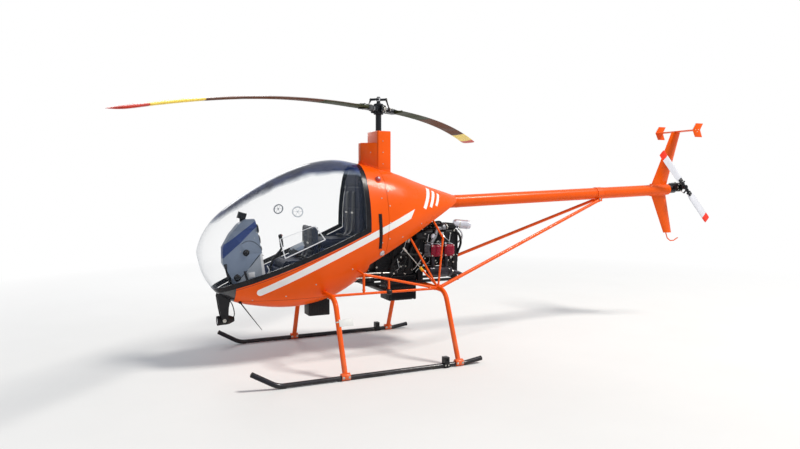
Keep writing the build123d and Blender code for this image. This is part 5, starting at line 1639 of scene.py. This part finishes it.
def rocker_covers():
    shape = Shape()
    for x in CYLINDER_X:
        for side in (1, -1):
            y = side * 0.2713
            shape.box((x, y - side * 0.005, CYLINDER_Z), (0.098, 0.016, 0.106), "red cover", edge=0.006,
                steps=3)
            shape.box((x, y, CYLINDER_Z), (0.082, 0.024, 0.088), "red cover", edge=0.01, steps=3)
            for i in range(5):
                shape.box((x, y + side * 0.0125, CYLINDER_Z - 0.03 + 0.015 * i), (0.062, 0.004, 0.005),
                    "red cover", edge=0.0015)
            for a, b in ((-0.04, 0.043), (0.04, 0.043), (-0.04, -0.043), (0.04, -0.043)):
                shape.bolt((x + a, y + side * 0.003, CYLINDER_Z + b), (0, side, 0), 0.0045, 0.005)
    shape.done("rocker_covers", "red_cover", ["cylinder_covers"])


def intake():
    shape = Shape()
    shape.box((-0.67, 0, 1.126), (0.15, 0.21, 0.05), "engine black", edge=0.01, steps=3)
    for i in range(7):
        shape.box((-0.735 + 0.0215 * i, 0, 1.1525), (0.006, 0.19, 0.004), "engine black", edge=0.0015)
    start, end = Vector((-0.735, 0.07, 1.151)), Vector((-0.9, 0.11, 1.135))
    axis = (end - start).normalized()
    can = [(0, 0), (0, 0.034), (0.012, 0.04), (0.02, 0.042), (0.125, 0.042), (0.128, 0.0435), (0.136, 0.0435),
        (0.139, 0.041), (0.16, 0.038), (0.168, 0.028), (0.171, 0)]
    shape.turned(start, end, can, lambda k: "white edge" if k > 7 else "spun can", 36)
    clamp(shape, start + axis * 0.055, axis, 0.042)
    for side in (1, -1):
        base = Vector((-0.52, side * 0.15, 1.11))
        shape.tube([(-0.45, side * 0.17, 0.985), (-0.49, side * 0.165, 1.04), base], 0.018, "cast alloy", 16)
        barrel = [(0, 0), (0, 0.026), (0.012, 0.026), (0.014, 0.02), (0.05, 0.022), (0.052, 0.029),
            (0.078, 0.029), (0.082, 0.022), (0.082, 0)]
        bowl = [(0, 0), (0, 0.023), (0.028, 0.023), (0.034, 0.015), (0.036, 0)]
        cap = [(0, 0), (0, 0.024), (0.014, 0.026), (0.02, 0.018), (0.024, 0)]
        for lift, ahead, profile, kind in (((0, 0, 0), (-0.25, 0, 0.06), barrel, "cast alloy"),
                ((-0.045, 0, -0.03), (0, 0, -1), bowl, "zinc"),
                ((-0.04, 0, 0.028), (0, 0, 1), cap, "black plastic")):
            at = base + Vector(lift)
            shape.turned(at, at + Vector(ahead), profile, kind, 24)
        ribbed(shape, base + Vector((-0.08, 0, 0.014)), base + Vector((-0.115, -side * 0.02, 0.022)), 0.026,
            "rubber", 4, 0.004)
        clamp(shape, base + Vector((-0.088, -side * 0.003, 0.018)), (-1, -side * 0.3, 0.1), 0.027)
        shape.tube(spline([(-0.56, side * 0.15, 1.075), (-0.585, side * 0.185, 1.03),
            (-0.64, side * 0.18, 0.985)], 5), 0.0045, "bright steel", 8)
    shape.done("carburettors", "black_engine", ["air_intake"])


def exhaust():
    shape = Shape()
    shape.turned((-0.39, 0.2, 0.735), (-0.65, 0.2, 0.72), [(0, 0), (0, 0.02), (0.008, 0.036), (0.02, 0.045),
        (0.12, 0.046), (0.123, 0.048), (0.129, 0.048), (0.132, 0.046), (0.236, 0.046), (0.247, 0.04),
        (0.257, 0.022), (0.26, 0)], "hot pipe", 32)
    front, rear = CYLINDER_X
    for side in (1, -1):
        for x, inner in ((front, -0.455), (rear, -0.56)):
            line = [(x, side * 0.2, 0.88), (x, side * 0.203, 0.85), (x, side * 0.203, 0.8),
                (x, side * 0.2, 0.745)]
            if side < 0:
                line[3:] = [(inner, -0.18, 0.755), (inner, -0.08, 0.738), (inner, 0.07, 0.738),
                    (inner, 0.165, 0.738)]
            shape.tube(spline(line, 6), 0.0165, "hot pipe", 16)
            at = Vector((x, side * 0.2, 0.872))
            shape.turned(at, at + Vector((0, 0, 1)), [(0, 0.015), (0, 0.027), (0.007, 0.027), (0.007, 0.015)],
                "zinc", 20)
    tail = spline([(-0.635, 0.2, 0.72), (-0.68, 0.205, 0.712), (-0.722, 0.211, 0.696), (-0.76, 0.215, 0.675)],
        5)
    shape.tube(tail, 0.0175, "hot pipe", 20, ends=(True, False))
    shape.tube([tail[-1], tail[-1] + (tail[-2] - tail[-1]) * 2], 0.015, "engine black", 20,
        ends=(False, True))
    clamp(shape, (-0.648, 0.2015, 0.7185), (-1, 0.1, -0.2), 0.0175)
    for x, z in ((-0.44, 0.732), (-0.6, 0.723)):
        clamp(shape, (x, 0.2, z), (1, 0, 0.05), 0.046, "black steel", 0.014)
    shape.done("exhaust_pipes", "black_engine", ["exhaust"])


def radiator():
    shape = Shape()
    shape.box((-0.195, 0, 0.5825), (0.262, 0.205, 0.225), "engine black", edge=0.006)
    for x in (-0.318, -0.072):
        shape.box((x, 0, 0.5825), (0.024, 0.214, 0.234), "engine black", edge=0.008, steps=3)
    for side in (1, -1):
        for i in range(26):
            shape.box((lerp(-0.298, -0.092, i / 25), side * 0.103, 0.5825), (0.0022, 0.007, 0.2), "core fins",
                edge=0)
        for z in (0.48, 0.5825, 0.686):
            shape.box((-0.195, side * 0.1045, z), (0.222, 0.005, 0.01), "black steel", edge=0.002)
        for x in (-0.318, -0.072):
            for z in (0.49, 0.675):
                shape.bolt((x, side * 0.107, z), (0, side, 0), 0.005, 0.005, "black steel")
    shape.knob((-0.11, 0.045, 0.698), (-0.11, 0.045, 0.8), [(0, 0.02), (0.0015, 0.02)], "zinc", 24)
    for i in range(14):
        shape.box((-0.195, lerp(-0.09, 0.09, i / 13), 0.4665), (0.2, 0.003, 0.003), "core fins", edge=0)
    shape.done("radiator_core", "black_engine", ["radiator"])


def belt_housing():
    shape = from_solid("belt_housing", "engine black", 0.008, 30.0, 3)
    for side in (1, -1):
        y = side * 0.115
        for px, pz, r in ((-0.005, 0.985, 0.082), (-0.19, 0.82, 0.07)):
            shape.knob((px, y - side * 0.003, pz), (px, y + side, pz),
                [(0, r), (0.01, r), (0.014, r * 0.93), (0.014, r * 0.45), (0.008, r * 0.42), (0.008, r * 0.2),
                (0.018, r * 0.18)], "engine black", 40)
            for a in angles(6):
                shape.bolt((px + r * 0.7 * cos(a), y + side * 0.011, pz + r * 0.7 * sin(a)), (0, side, 0),
                    0.005, 0.005)
        for i in range(7):
            shape.box((-0.1, y + side * 0.001, 0.735 + 0.014 * i), (0.3 - 0.02 * i, 0.006, 0.005),
                "black steel", edge=0.0015)
        for x, z in ((-0.28, 1.07), (-0.16, 1.08), (-0.04, 1.08), (0.06, 1.06), (0.066, 0.92), (0.066, 0.78),
                (-0.28, 0.96), (-0.28, 0.74), (-0.1, 0.715)):
            shape.bolt((x, y, z), (0, side, 0), 0.005, 0.005)
        shape.box((-0.085, y + side * 0.012, 0.905), (0.075, 0.028, 0.055), "engine black", edge=0.005)
        shape.knob((-0.235, y, 1.01), (-0.235, y + side, 1.01), [(0, 0.022), (0.018, 0.022), (0.024, 0.016)],
            "zinc", 22)
    shape.done("belt_case", "black_engine", ["belt_housing"])
    shape = from_solid("battery_box", "black plastic", 0.006, 30.0, 3)
    for side, kind in ((1, "zinc"), (-1, "red cover")):
        shape.knob((0.135, side * 0.085, 0.744), (0.135, side * 0.085, 1), [(0, 0.009), (0.012, 0.008)], kind,
            16)
    strap(shape, [(0.135, y, z) for y, z in ((-0.121, 0.66), (-0.1215, 0.742), (-0.11, 0.7465),
        (0.11, 0.7465), (0.1215, 0.742), (0.121, 0.66))], 0.02, "webbing", (1, 0, 0))
    shape.done("battery_case", "black_plastic", ["battery_box"])


def mast_gearbox():
    shape = from_solid("main_gearbox", "cast alloy", 0.004, 35.0)
    for a in angles(10):
        u = Vector((cos(a), sin(a), 0))
        shape.box(u * 0.1 + Vector((0, 0, 1.3)), (0.006, 0.006, 0.13), "cast alloy", turn=(0, 0, a),
            edge=0.002)
        shape.bolt(u * 0.088 + Vector((0, 0, 1.4)), (0, 0, 1), 0.0055, 0.006)
        shape.bolt(u * 0.05 + Vector((0, 0, 1.48)), (0, 0, 1), 0.004, 0.004)
    for x in (-0.18, 0.13):
        for y in (-0.17, 0.17):
            shape.bolt((x, y, 1.25), (0, 0, 1), 0.007, 0.008)
    shape.done("mast_gearbox", "cast_alloy", ["main_gearbox"])


def hoses():
    # coolant hoses, fuel lines and loom, clipped along the engine
    shape = Shape()
    lines = [
        ([(-0.09, 0.085, 0.692), (-0.06, 0.135, 0.73), (-0.08, 0.142, 0.82), (-0.16, 0.15, 0.89),
          (-0.3, 0.16, 0.88), (-0.36, 0.165, 0.9)], 0.0125, "rubber"),
        ([(-0.6, 0.09, 1.15), (-0.56, 0.12, 1.175), (-0.48, 0.13, 1.165), (-0.42, 0.12, 1.13),
          (-0.38, 0.1, 1.1)], 0.0085, "rubber"),
        ([(-0.79, 0.03, 0.96), (-0.815, 0.08, 1.0), (-0.8, 0.12, 1.06), (-0.76, 0.11, 1.115)], 0.009,
         "white edge"),
    ]
    for side in (1, -1):
        lines.append(([(-0.41, side * 0.15, 0.985), (-0.375, side * 0.165, 1.03), (-0.31, side * 0.15, 1.01),
            (-0.25, side * 0.14, 0.9), (-0.235, side * 0.138, 0.78), (-0.2, side * 0.1, 0.69)], 0.0145,
            "rubber"))
        lines.append(([(-0.7, side * 0.115, 1.095), (-0.745, side * 0.15, 1.06), (-0.77, side * 0.15, 0.98),
            (-0.755, side * 0.13, 0.9), (-0.74, side * 0.12, 0.85)], 0.011, "rubber"))
    chance = random.Random(7)
    for i in range(18):
        side = 1 if i % 3 else -1
        x = lerp(-0.74, -0.1, i / 17)
        points = [(x, side * 0.135, 1.06)]
        for k in range(4):
            points.append((x + 0.03 * (k + 1) * chance.uniform(0.3, 1.4), side * chance.uniform(0.138, 0.172),
                1.06 - 0.075 * (k + 1) + chance.uniform(-0.02, 0.02)))
        points.append((points[-1][0] + 0.02, side * 0.128, points[-1][2] - 0.03))
        lines.append((points, chance.choice((0.003, 0.0038, 0.005)),
            chance.choice(("rubber", "black plastic", "black plastic", "bright steel"))))
    for points, radius, kind in lines:
        line = spline(points, 7)
        shape.tube(line, radius, kind, 12 if radius > 0.006 else 7)
        if radius > 0.007:
            for k in (2, len(line) - 3):
                clamp(shape, line[k], line[k + 1] - line[k], radius, "zinc", 0.008)
    for i in range(26):
        x, z, wide = chance.uniform(-0.72, -0.3), chance.uniform(0.8, 1.09), chance.uniform(0.012, 0.034)
        side = 1 if i % 3 else -1
        kind = chance.choice(("black plastic", "engine black", "cast alloy", "zinc"))
        shape.box((x, side * 0.14, z), (wide, 0.024, chance.uniform(0.01, 0.03)), kind,
            turn=(0, chance.uniform(-0.6, 0.6), 0), edge=0.003)
        shape.bolt((x, side * 0.152, z), (0, side, 0), 0.004, 0.004)
    shape.box((-0.33, 0.155, 1.055), (0.06, 0.03, 0.045), "black plastic", edge=0.006)
    shape.turned((-0.47, 0.158, 1.045), (-0.47, 0.3, 1.045),
        [(0, 0), (0, 0.02), (0.012, 0.024), (0.02, 0.018), (0.022, 0)], "spun can", 24)
    shape.done("hoses_and_loom", "black_engine")


def foil(chord, thick, lead, count=9):
    # closed blade section as (along the chord, up), nose first, over the top and back below
    points = []
    for sign, steps in ((1, range(count)), (-1, range(count - 1, 0, -1))):
        for i in steps:
            t = 0.5 - 0.5 * cos(pi * i / (count - 1))
            y = 0.2969 * sqrt(t) - 0.126 * t - 0.3516 * t * t + 0.2843 * t ** 3 - 0.1036 * t ** 4
            points.append((lead - t * chord, sign * max(5 * thick * y, 0.0008)))
    return points


def blade_height(radius, side):
    return HUB_Z - side * radius * tan(ROTOR_TEETER) - BLADE_DROOP * (radius / ROTOR_R) ** 2.5


class HELI_OT_rotor(bpy.types.Operator):
    """Mast, teetering head, links and the two painted blades"""
    bl_idname = "heli.rotor"
    bl_label = "Main rotor"

    def execute(self, context):
        dress("rotor black", "rotor_mast")
        for side, name in ((1, "port"), (-1, "starboard")):
            main_blade(side, name)
        rotor_head()
        return {"FINISHED"}


def main_blade(side, name):
    s = sizes()
    shape = Shape()
    stations = [0.33, 0.336, 0.4, 0.52, 0.545]
    stations += [lerp(0.6, s.blade_band - 0.06, i / 16) for i in range(17)]
    stations += [s.blade_band - 0.02, s.blade_band + 0.02, s.blade_band + 0.06]
    stations += [lerp(s.blade_band + 0.12, s.blade_tip - 0.08, i / 4) for i in range(5)]
    stations += [s.blade_tip - 0.02, s.blade_tip + 0.02, BLADE_ROUND, 3.06, 3.078, 3.087, ROTOR_R]
    rings = []
    for r in stations:
        chord, thick, lead = BLADE_CHORD, BLADE_THICK, BLADE_LEAD
        if r < 0.4:
            thick = lerp(0.034, BLADE_THICK, max(0.0, (r - 0.336) / 0.064))
        if r > BLADE_ROUND:
            cut = sqrt(max(0.0, 1 - ((r - BLADE_ROUND) / 0.0705) ** 2))
            chord, thick = BLADE_CHORD * lerp(0.35, 1, cut), BLADE_THICK * lerp(0.3, 1, cut)
            lead = BLADE_LEAD - 0.03 * (1 - cut)
        rings.append([Vector((r, y, blade_height(r, side) + z)) for y, z in foil(chord, thick, lead, 11)])
    shape.skin(rings, "blade brown", ends=(True, True))
    for place in (s.blade_band, s.blade_tip):
        score(shape.bm, lambda co, p=place: co.x - p - 0.3 * co.y)
    for place in (0.6, 1.15):
        score(shape.bm, lambda co, p=place: co.x - p)
    repaint(shape, "blade under", lambda c, n: n.z < -0.05)
    repaint(shape, "blade root", lambda c, n: c.x < 1.15 and n.z < -0.05 or c.x < 0.6)
    repaint(shape, "blade yellow", lambda c, n: c.x - s.blade_band - 0.3 * c.y > 0)
    repaint(shape, "blade red", lambda c, n: c.x - s.blade_tip - 0.3 * c.y > 0)
    for r, across in ((0.365, 0.03), (0.365, -0.03), (0.365, -0.085), (0.43, 0.0), (0.43, -0.06)):
        shape.bolt((r, across, blade_height(r, side) + 0.0105), (0, 0, 1), 0.008, 0.006)
    shape.move(Matrix.Rotation(ROTOR_TURN + (0 if side == 1 else pi), 4, "Z"))
    shape.done("rotor_blade_" + name, "blade_paint", ["blade_" + name], "main_rotor", sharp=30.0)


def rotor_head():
    shape = Shape()
    z = HUB_Z
    shape.knob((0, 0, z - 0.048), (0, 0, z + 1), [(0, 0.04), (0.004, 0.044), (0.02, 0.044), (0.024, 0.036),
        (0.072, 0.036), (0.076, 0.044), (0.092, 0.044), (0.096, 0.038)], "rotor black", 36)
    shape.knob((0, 0, z + 0.04), (0, 0, z + 1), [(0, 0.024), (0.012, 0.02), (0.03, 0.015), (0.064, 0.015),
        (0.066, 0.017), (0.07, 0.0145)], "rotor black", 26)
    for side in (1, -1):
        shape.box((0, side * 0.05, z), (0.09, 0.014, 0.07), "rotor black", edge=0.004)
        shape.knob((0, side * 0.056, z), (0, side, z), [(0, 0.018), (0.008, 0.018), (0.012, 0.012),
            (0.018, 0.012)], "zinc", 24)
        for a in (-0.032, 0.032):
            for b in (-0.022, 0.022):
                shape.bolt((a, side * 0.057, z + b), (0, side, 0), 0.0045, 0.005)
        blade_grip(shape, side)
        pitch_link(shape, side)
    top = HUB_TOP_Z - 0.024
    shape.box((0, 0, top), (0.06, 0.026, 0.02), "rotor black", edge=0.004)
    shape.turned((0, 0, top - 0.014), (0, 0, top + 1), [(0, 0.014), (0, 0.022), (0.028, 0.022), (0.03, 0.016),
        (0.03, 0.012)], "bright steel", 24)
    shape.move(Matrix.Rotation(ROTOR_TURN, 4, "Z"))
    shape.done("rotor_head", "black_steel", ["rotor_hub"], "main_rotor", sharp=32.0)


def blade_grip(shape, side):
    def at(r):
        return Vector((side * r, 0, blade_height(r, side)))
    out = (at(0.35) - at(0.03)).normalized()
    shape.turned(at(0.03), at(0.35), [(0, 0.022), (0.045, 0.024), (0.05, 0.031), (0.062, 0.031),
        (0.066, 0.024), (0.13, 0.024), (0.134, 0.029), (0.15, 0.029), (0.154, 0.024), (0.32, 0.024),
        (0.32, 0)], "rotor black", 28)
    slope = -atan2(out.z, out.x if side > 0 else -out.x) * side
    shape.box(at(0.252), (0.09, 0.074, 0.04), "rotor black", turn=(0, slope, 0), edge=0.006, steps=3)
    for sign in (1, -1):
        shape.box(at(0.33) + Vector((0, 0, sign * 0.0185)), (0.11, 0.06, 0.007), "rotor black",
            turn=(0, slope, 0), edge=0.002)
    for r, y in ((0.225, 0.024), (0.225, -0.024), (0.28, 0.024), (0.28, -0.024), (0.345, 0.018),
            (0.345, -0.018)):
        shape.bolt(at(r) + Vector((0, y, 0.021)), (0, 0, 1), 0.007, 0.008)
    for i in range(3):
        shape.turned(at(0.145 + 0.012 * i), at(0.3), [(0, 0.022), (0, 0.0275), (0.006, 0.0275),
            (0.006, 0.022)], "bright steel", 24)


def pitch_link(shape, side):
    x, top_x, y = side * 0.104, side * 0.02, -side * 0.066
    low, high = Vector((x, y, HUB_Z)), Vector((top_x, y, HUB_TOP_Z - 0.024))
    shape.box((x, y * 0.55, HUB_Z - 0.007), (0.026, abs(y) * 0.95, 0.02), "rotor black", edge=0.004)
    shape.box((top_x, y * 0.55, HUB_TOP_Z - 0.024), (0.02, abs(y) * 0.95, 0.02), "rotor black", edge=0.004)
    shape.tube([low.lerp(high, 0.12), low.lerp(high, 0.88)], 0.0064, "rotor black", 14)
    out = 1 if y > 0 else -1
    for p, q in ((low, high), (high, low)):
        ahead = (q - p).normalized()
        shape.tube([p + ahead * 0.008, p + ahead * 0.026], 0.0088, "black steel", 6)
        shape.knob(p + Vector((0, out * -0.008, 0)), p + Vector((0, out, 0)),
            [(0, 0.01), (0.004, 0.0125), (0.012, 0.0125), (0.016, 0.01)], "rotor black", 18)
        shape.bolt(p + Vector((0, out * 0.008, 0)), (0, out, 0), 0.005, 0.006)


class HELI_OT_tail(bpy.types.Operator):
    """Boom, fins, stabiliser, tail gearbox and the small rotor"""
    bl_idname = "heli.tail"
    bl_label = "Tail"

    def execute(self, context):
        dress("orange shell", "tail_boom", "upper_fin", "lower_fin")
        dress("orange tube", "tail_skid")
        boom_bands()
        stabiliser_skin()
        tail_gear()
        small_rotor()
        return {"FINISHED"}


def boom_bands():
    # joint sleeve, rivet rows and the fins' root fillets
    shape = Shape()
    axis = Vector((BOOM_REAR[0] - BOOM_FRONT[0], 0, BOOM_REAR[1] - BOOM_FRONT[1])).normalized()
    for x, width in ((-0.79, 0.03), (-2.463, 0.018), (-2.575, 0.018), (-3.235, 0.012), (-3.48, 0.026)):
        at = Vector((x, 0, boom_z(x)))
        shape.turned(at, at + axis, [(0, 0.0595), (0.001, 0.0612), (width - 0.001, 0.0612), (width, 0.0595)],
            "orange shell", 48)
    up = Vector((axis.z, 0, -axis.x))
    for x in (-0.8, -2.47, -2.585, -3.24, -3.493):
        for a in angles(14):
            out = Vector((0, cos(a), 0)) + up * sin(a)
            shape.screw(Vector((x, 0, boom_z(x))) + out * 0.0606, out, 0.0032, "orange shell")
    for x0, x1, z, sign in ((-3.262, -3.497, 1.5175, 1), (-3.262, -3.49, 1.402, -1)):
        rings = []
        for out_w, up_h in ((0.012, -0.004), (0.006, 0.002), (0.0015, 0.012)):
            middle, half = (x0 + x1) / 2, (x0 - x1) / 2 + out_w * 0.7
            ring = []
            for t in angles(28):
                y = sin(t) * (0.021 * (1 - cos(t) ** 2 * 0.85) + out_w)
                ring.append(Vector((middle + half * cos(t), y, z + sign * up_h - (y * y / 0.12) * sign)))
            rings.append(ring)
        shape.skin(rings, "orange shell")
    shape.done("boom_bands", "orange_shell", closed=False, sharp=40.0)


def stabiliser_skin():
    shape = from_solid("stabiliser", "orange shell", 0.0012, 40.0)
    repaint(shape, "white edge", lambda c, n: abs(abs(c.y) - 0.261) < 0.0045 and abs(n.y) < 0.6 and n.z > 0.1)
    for side in (1, -1):
        for x, z in ((-3.64, 2.12), (-3.68, 2.12), (-3.665, 2.098)):
            shape.screw((x, side * 0.264, z), (0, side, 0), 0.005)
    shape.done("stabiliser_skin", "orange_shell", ["stabiliser"])


def tail_gear():
    shape = from_solid("tail_gearbox", "rotor black", 0.003, 35.0)
    repaint(shape, "orange shell", lambda c, n: c.x > -3.522)
    x, y, z = TAIL_HUB
    for a in angles(8):
        u = Vector((cos(a), 0, sin(a)))
        shape.bolt(Vector((x, y - 0.06, z)) + u * 0.04, (0, 1, 0), 0.0042, 0.005)
        shape.bolt(Vector((x, -0.05, z)) + u * 0.04, (0, -1, 0), 0.0042, 0.005)
        shape.box(Vector((x, 0.028, z)) + u * 0.047, (0.005, 0.12, 0.004), "rotor black", turn=(0, -a, 0),
            edge=0.001)
    shape.knob((x, 0.02, z + 0.044), (x, 0.02, z + 1), [(0, 0.011), (0.012, 0.011), (0.014, 0.008)], "zinc",
        6)
    shape.done("tail_gear_case", "cast_alloy", ["tail_gearbox"])


def small_rotor():
    x, y, z = TAIL_HUB
    turn = Matrix.Translation((x, y, z)) @ Matrix.Rotation(-TAIL_TURN, 4, "Y")
    shape = Shape()
    for side in (1, -1):
        rings = []
        stations = [0.09, 0.094, 0.12, 0.16] + [lerp(0.2, 0.44, i / 6) for i in range(7)]
        stations += [0.462, 0.49, 0.513, 0.518, 0.52]
        for r in stations:
            cut = sqrt(max(0.0, 1 - max(0.0, (r - 0.508) / 0.0122) ** 2))
            root = min(1.0, max(0.0, (r - 0.092) / 0.05))
            chord = lerp(0.05, 0.088, root) * lerp(0.7, 1, cut)
            thick = lerp(0.022, 0.0115, root) * lerp(0.35, 1, cut)
            section = foil(chord, thick, chord * 0.5)
            rings.append([Vector((side * r, b, side * a)) for a, b in section])
        shape.skin(rings, lambda k: "tip red" if k >= 10 else "blade white", ends=(True, True))
    shape.move(turn)
    shape.done("small_blades", "white_blade", ["tail_blades"], "tail_rotor", sharp=30.0)
    shape = Shape()
    shape.knob((0, -0.179, 0), (0, 1, 0), [(0, 0.011), (0.15, 0.011), (0.152, 0.024), (0.156, 0.026),
        (0.196, 0.026), (0.201, 0.022), (0.201, 0.012), (0.209, 0.011)], "rotor black", 30)
    for side in (1, -1):
        shape.knob((side * 0.015, 0, 0), (side * 0.122, 0, 0), [(0, 0.015), (0.02, 0.015), (0.024, 0.02),
            (0.036, 0.02), (0.04, 0.015), (0.107, 0.015)], "rotor black", 24)
        shape.box((side * 0.1, 0, 0), (0.052, 0.024, 0.048), "rotor black", edge=0.004)
        for a in (-0.014, 0.014):
            shape.bolt((side * 0.1 + a, 0.012, 0), (0, 1, 0), 0.0055, 0.006)
            shape.bolt((side * 0.1 + a, -0.012, 0), (0, -1, 0), 0.0055, 0.006)
        shape.box((side * 0.045, -0.01, side * 0.028), (0.014, 0.012, 0.044), "rotor black", edge=0.003)
        shape.tube([(side * 0.045, -0.012, side * 0.048), (side * 0.02, -0.06, side * 0.03)], 0.0035,
            "bright steel", 10)
    shape.turned((0, -0.072, 0), (0, 1, 0), [(0, 0.0115), (0, 0.034), (0.006, 0.036), (0.012, 0.034),
        (0.012, 0.0115)], "zinc", 28)
    shape.move(turn)
    shape.done("small_hub", "black_steel", ["tail_hub"], "tail_rotor", sharp=32.0)


class HELI_OT_fittings(bpy.types.Operator):
    """Position lights, landing lamp, antenna and belly box"""
    bl_idname = "heli.fittings"
    bl_label = "Lights and fittings"

    def execute(self, context):
        shoulder_lights()
        nose_lamp()
        belly_case()
        return {"FINISHED"}


def shoulder_lights():
    shape = Shape()
    for side in (1, -1):
        out = side_normal(0.108, 1.56, side)
        base = on_side(0.108, 1.56, side) - out * 0.004
        shape.knob(base, base + out, [(0, 0.034), (0.005, 0.034), (0.008, 0.03)], "orange shell", 32)
        dome = [(0.007 + 0.024 * sin(a), 0.026 * cos(a)) for a in (0.0, 0.3, 0.6, 0.9, 1.2, 1.45)]
        shape.turned(base, base + out, [(0.007, 0)] + dome + [(0.031, 0)], "red lens", 32)
        # pale cap on the dome's tip: a painted glint where the red dome shows a bright highlight
        shape.turned(base, base + out, [(0.0285, 0), (0.029, 0.01), (0.0316, 0.007), (0.0325, 0)],
            "clear lens", 24)
    shape.done("shoulder_lights", "signal_lens", ["position_lights"])


def nose_lamp():
    shape = Shape()
    for side in (1, -1):
        y = side * 0.045
        outline = [(1.335, 0.64), (1.428, 0.64), (1.44, 0.6), (1.425, 0.5), (1.412, 0.43), (1.4, 0.384),
            (1.368, 0.382), (1.352, 0.42), (1.352, 0.5), (1.338, 0.56)]
        shape.plate([(x, y, z) for x, z in outline], "black steel", (0, 1, 0), 0.008, edge=0.002)
        shape.bolt((1.385, side * 0.049, 0.4), (0, side, 0), 0.009, 0.009)
    shape.box((1.385, 0, 0.52), (0.06, 0.084, 0.014), "black steel", edge=0.003)
    shape.box((1.372, 0, 0.575), (0.05, 0.07, 0.05), "black plastic", edge=0.006)
    start, end = Vector((1.3, 0, 0.4)), Vector((1.44, 0, 0.395))
    shape.turned(start, end, [(0, 0), (0, 0.018), (0.016, 0.026), (0.04, 0.036), (0.06, 0.0385),
        (0.118, 0.0385), (0.121, 0.0397), (0.14, 0.0397), (0.14, 0.036), (0.128, 0.034)], "black plastic", 36)
    shape.turned(end - Vector((0.03, 0, -0.001)), end, [(0, 0), (0, 0.012), (0.012, 0.028), (0.02, 0.0345),
        (0.0205, 0.0345), (0.012, 0.026), (0.004, 0)], "mirror bowl", 36)
    shape.turned(end - Vector((0.009, 0, 0)), end, [(0, 0), (0, 0.035), (0.003, 0.0345), (0.006, 0.02),
        (0.007, 0)], "clear lens", 36)
    for i in range(5):
        shape.turned(start + Vector((0.066 + 0.009 * i, 0, -0.002)), end,
            [(0, 0.037), (0, 0.0396), (0.003, 0.0396), (0.003, 0.037)], "black plastic", 36)
    shape.tube(spline([(1.31, 0.012, 0.405), (1.3, 0.016, 0.45), (1.315, 0.018, 0.52), (1.345, 0.016, 0.575)],
        6), 0.004, "rubber", 8)
    shape.done("nose_lamp", "black_plastic", ["landing_light"])
    shape = Shape()
    shape.tube([(1.268, 0.1, 0.553), (1.18, 0.1, 0.43), (1.091, 0.1, 0.308)], [0.0055, 0.004, 0.0025],
        "black plastic", 10)
    shape.knob((1.272, 0.1, 0.56), (1.2, 0.1, 0.45), [(0, 0.013), (0.01, 0.013), (0.02, 0.007)], "rubber", 18)
    shape.done("antenna_rod", "black_plastic")


def belly_case():
    shape = from_solid("belly_box", "black plastic", 0.005, 35.0)
    for side in (1, -1):
        for i in range(6):
            shape.box((0.525 + 0.024 * i, side * 0.0805, 0.455), (0.006, 0.004, 0.075), "black plastic",
                edge=0.001)
        for x in (0.51, 0.66):
            shape.bolt((x, side * 0.08, 0.53), (0, side, 0), 0.005, 0.005)
    shape.done("belly_case", "black_plastic", ["belly_box"])


GROUPS = [HELI_OT_stage, HELI_OT_pod, HELI_OT_canopy, HELI_OT_cabin, HELI_OT_seats, HELI_OT_gear,
          HELI_OT_frame, HELI_OT_engine, HELI_OT_tail, HELI_OT_rotor, HELI_OT_fittings]


class HELI_PT_panel(bpy.types.Panel):
    """Sidebar list of the machine's groups"""
    bl_label = "Light helicopter"
    bl_idname = "HELI_PT_panel"
    bl_space_type = "VIEW_3D"
    bl_region_type = "UI"
    bl_category = "Helicopter"

    def draw(self, context):
        layout = self.layout
        for group in (context.scene.helicopter_sizes, context.scene.helicopter_colours):
            for key in group.__annotations__:
                layout.prop(group, key)
        for operator in GROUPS:
            layout.operator(operator.bl_idname)


CLASSES = [HelicopterSizes, HelicopterColours] + GROUPS + [HELI_PT_panel]


def register():
    for kind in CLASSES:
        bpy.utils.register_class(kind)
    bpy.types.Scene.helicopter_sizes = bpy.props.PointerProperty(type=HelicopterSizes)
    bpy.types.Scene.helicopter_colours = bpy.props.PointerProperty(type=HelicopterColours)


def unregister():
    del bpy.types.Scene.helicopter_colours
    del bpy.types.Scene.helicopter_sizes
    for kind in reversed(CLASSES):
        bpy.utils.unregister_class(kind)


def main():
    register()
    for operator in GROUPS:
        family, name = operator.bl_idname.split(".")
        if getattr(getattr(bpy.ops, family), name)() != {"FINISHED"}:
            raise RuntimeError("could not build " + operator.bl_label)


if __name__ == "__main__":
    main()
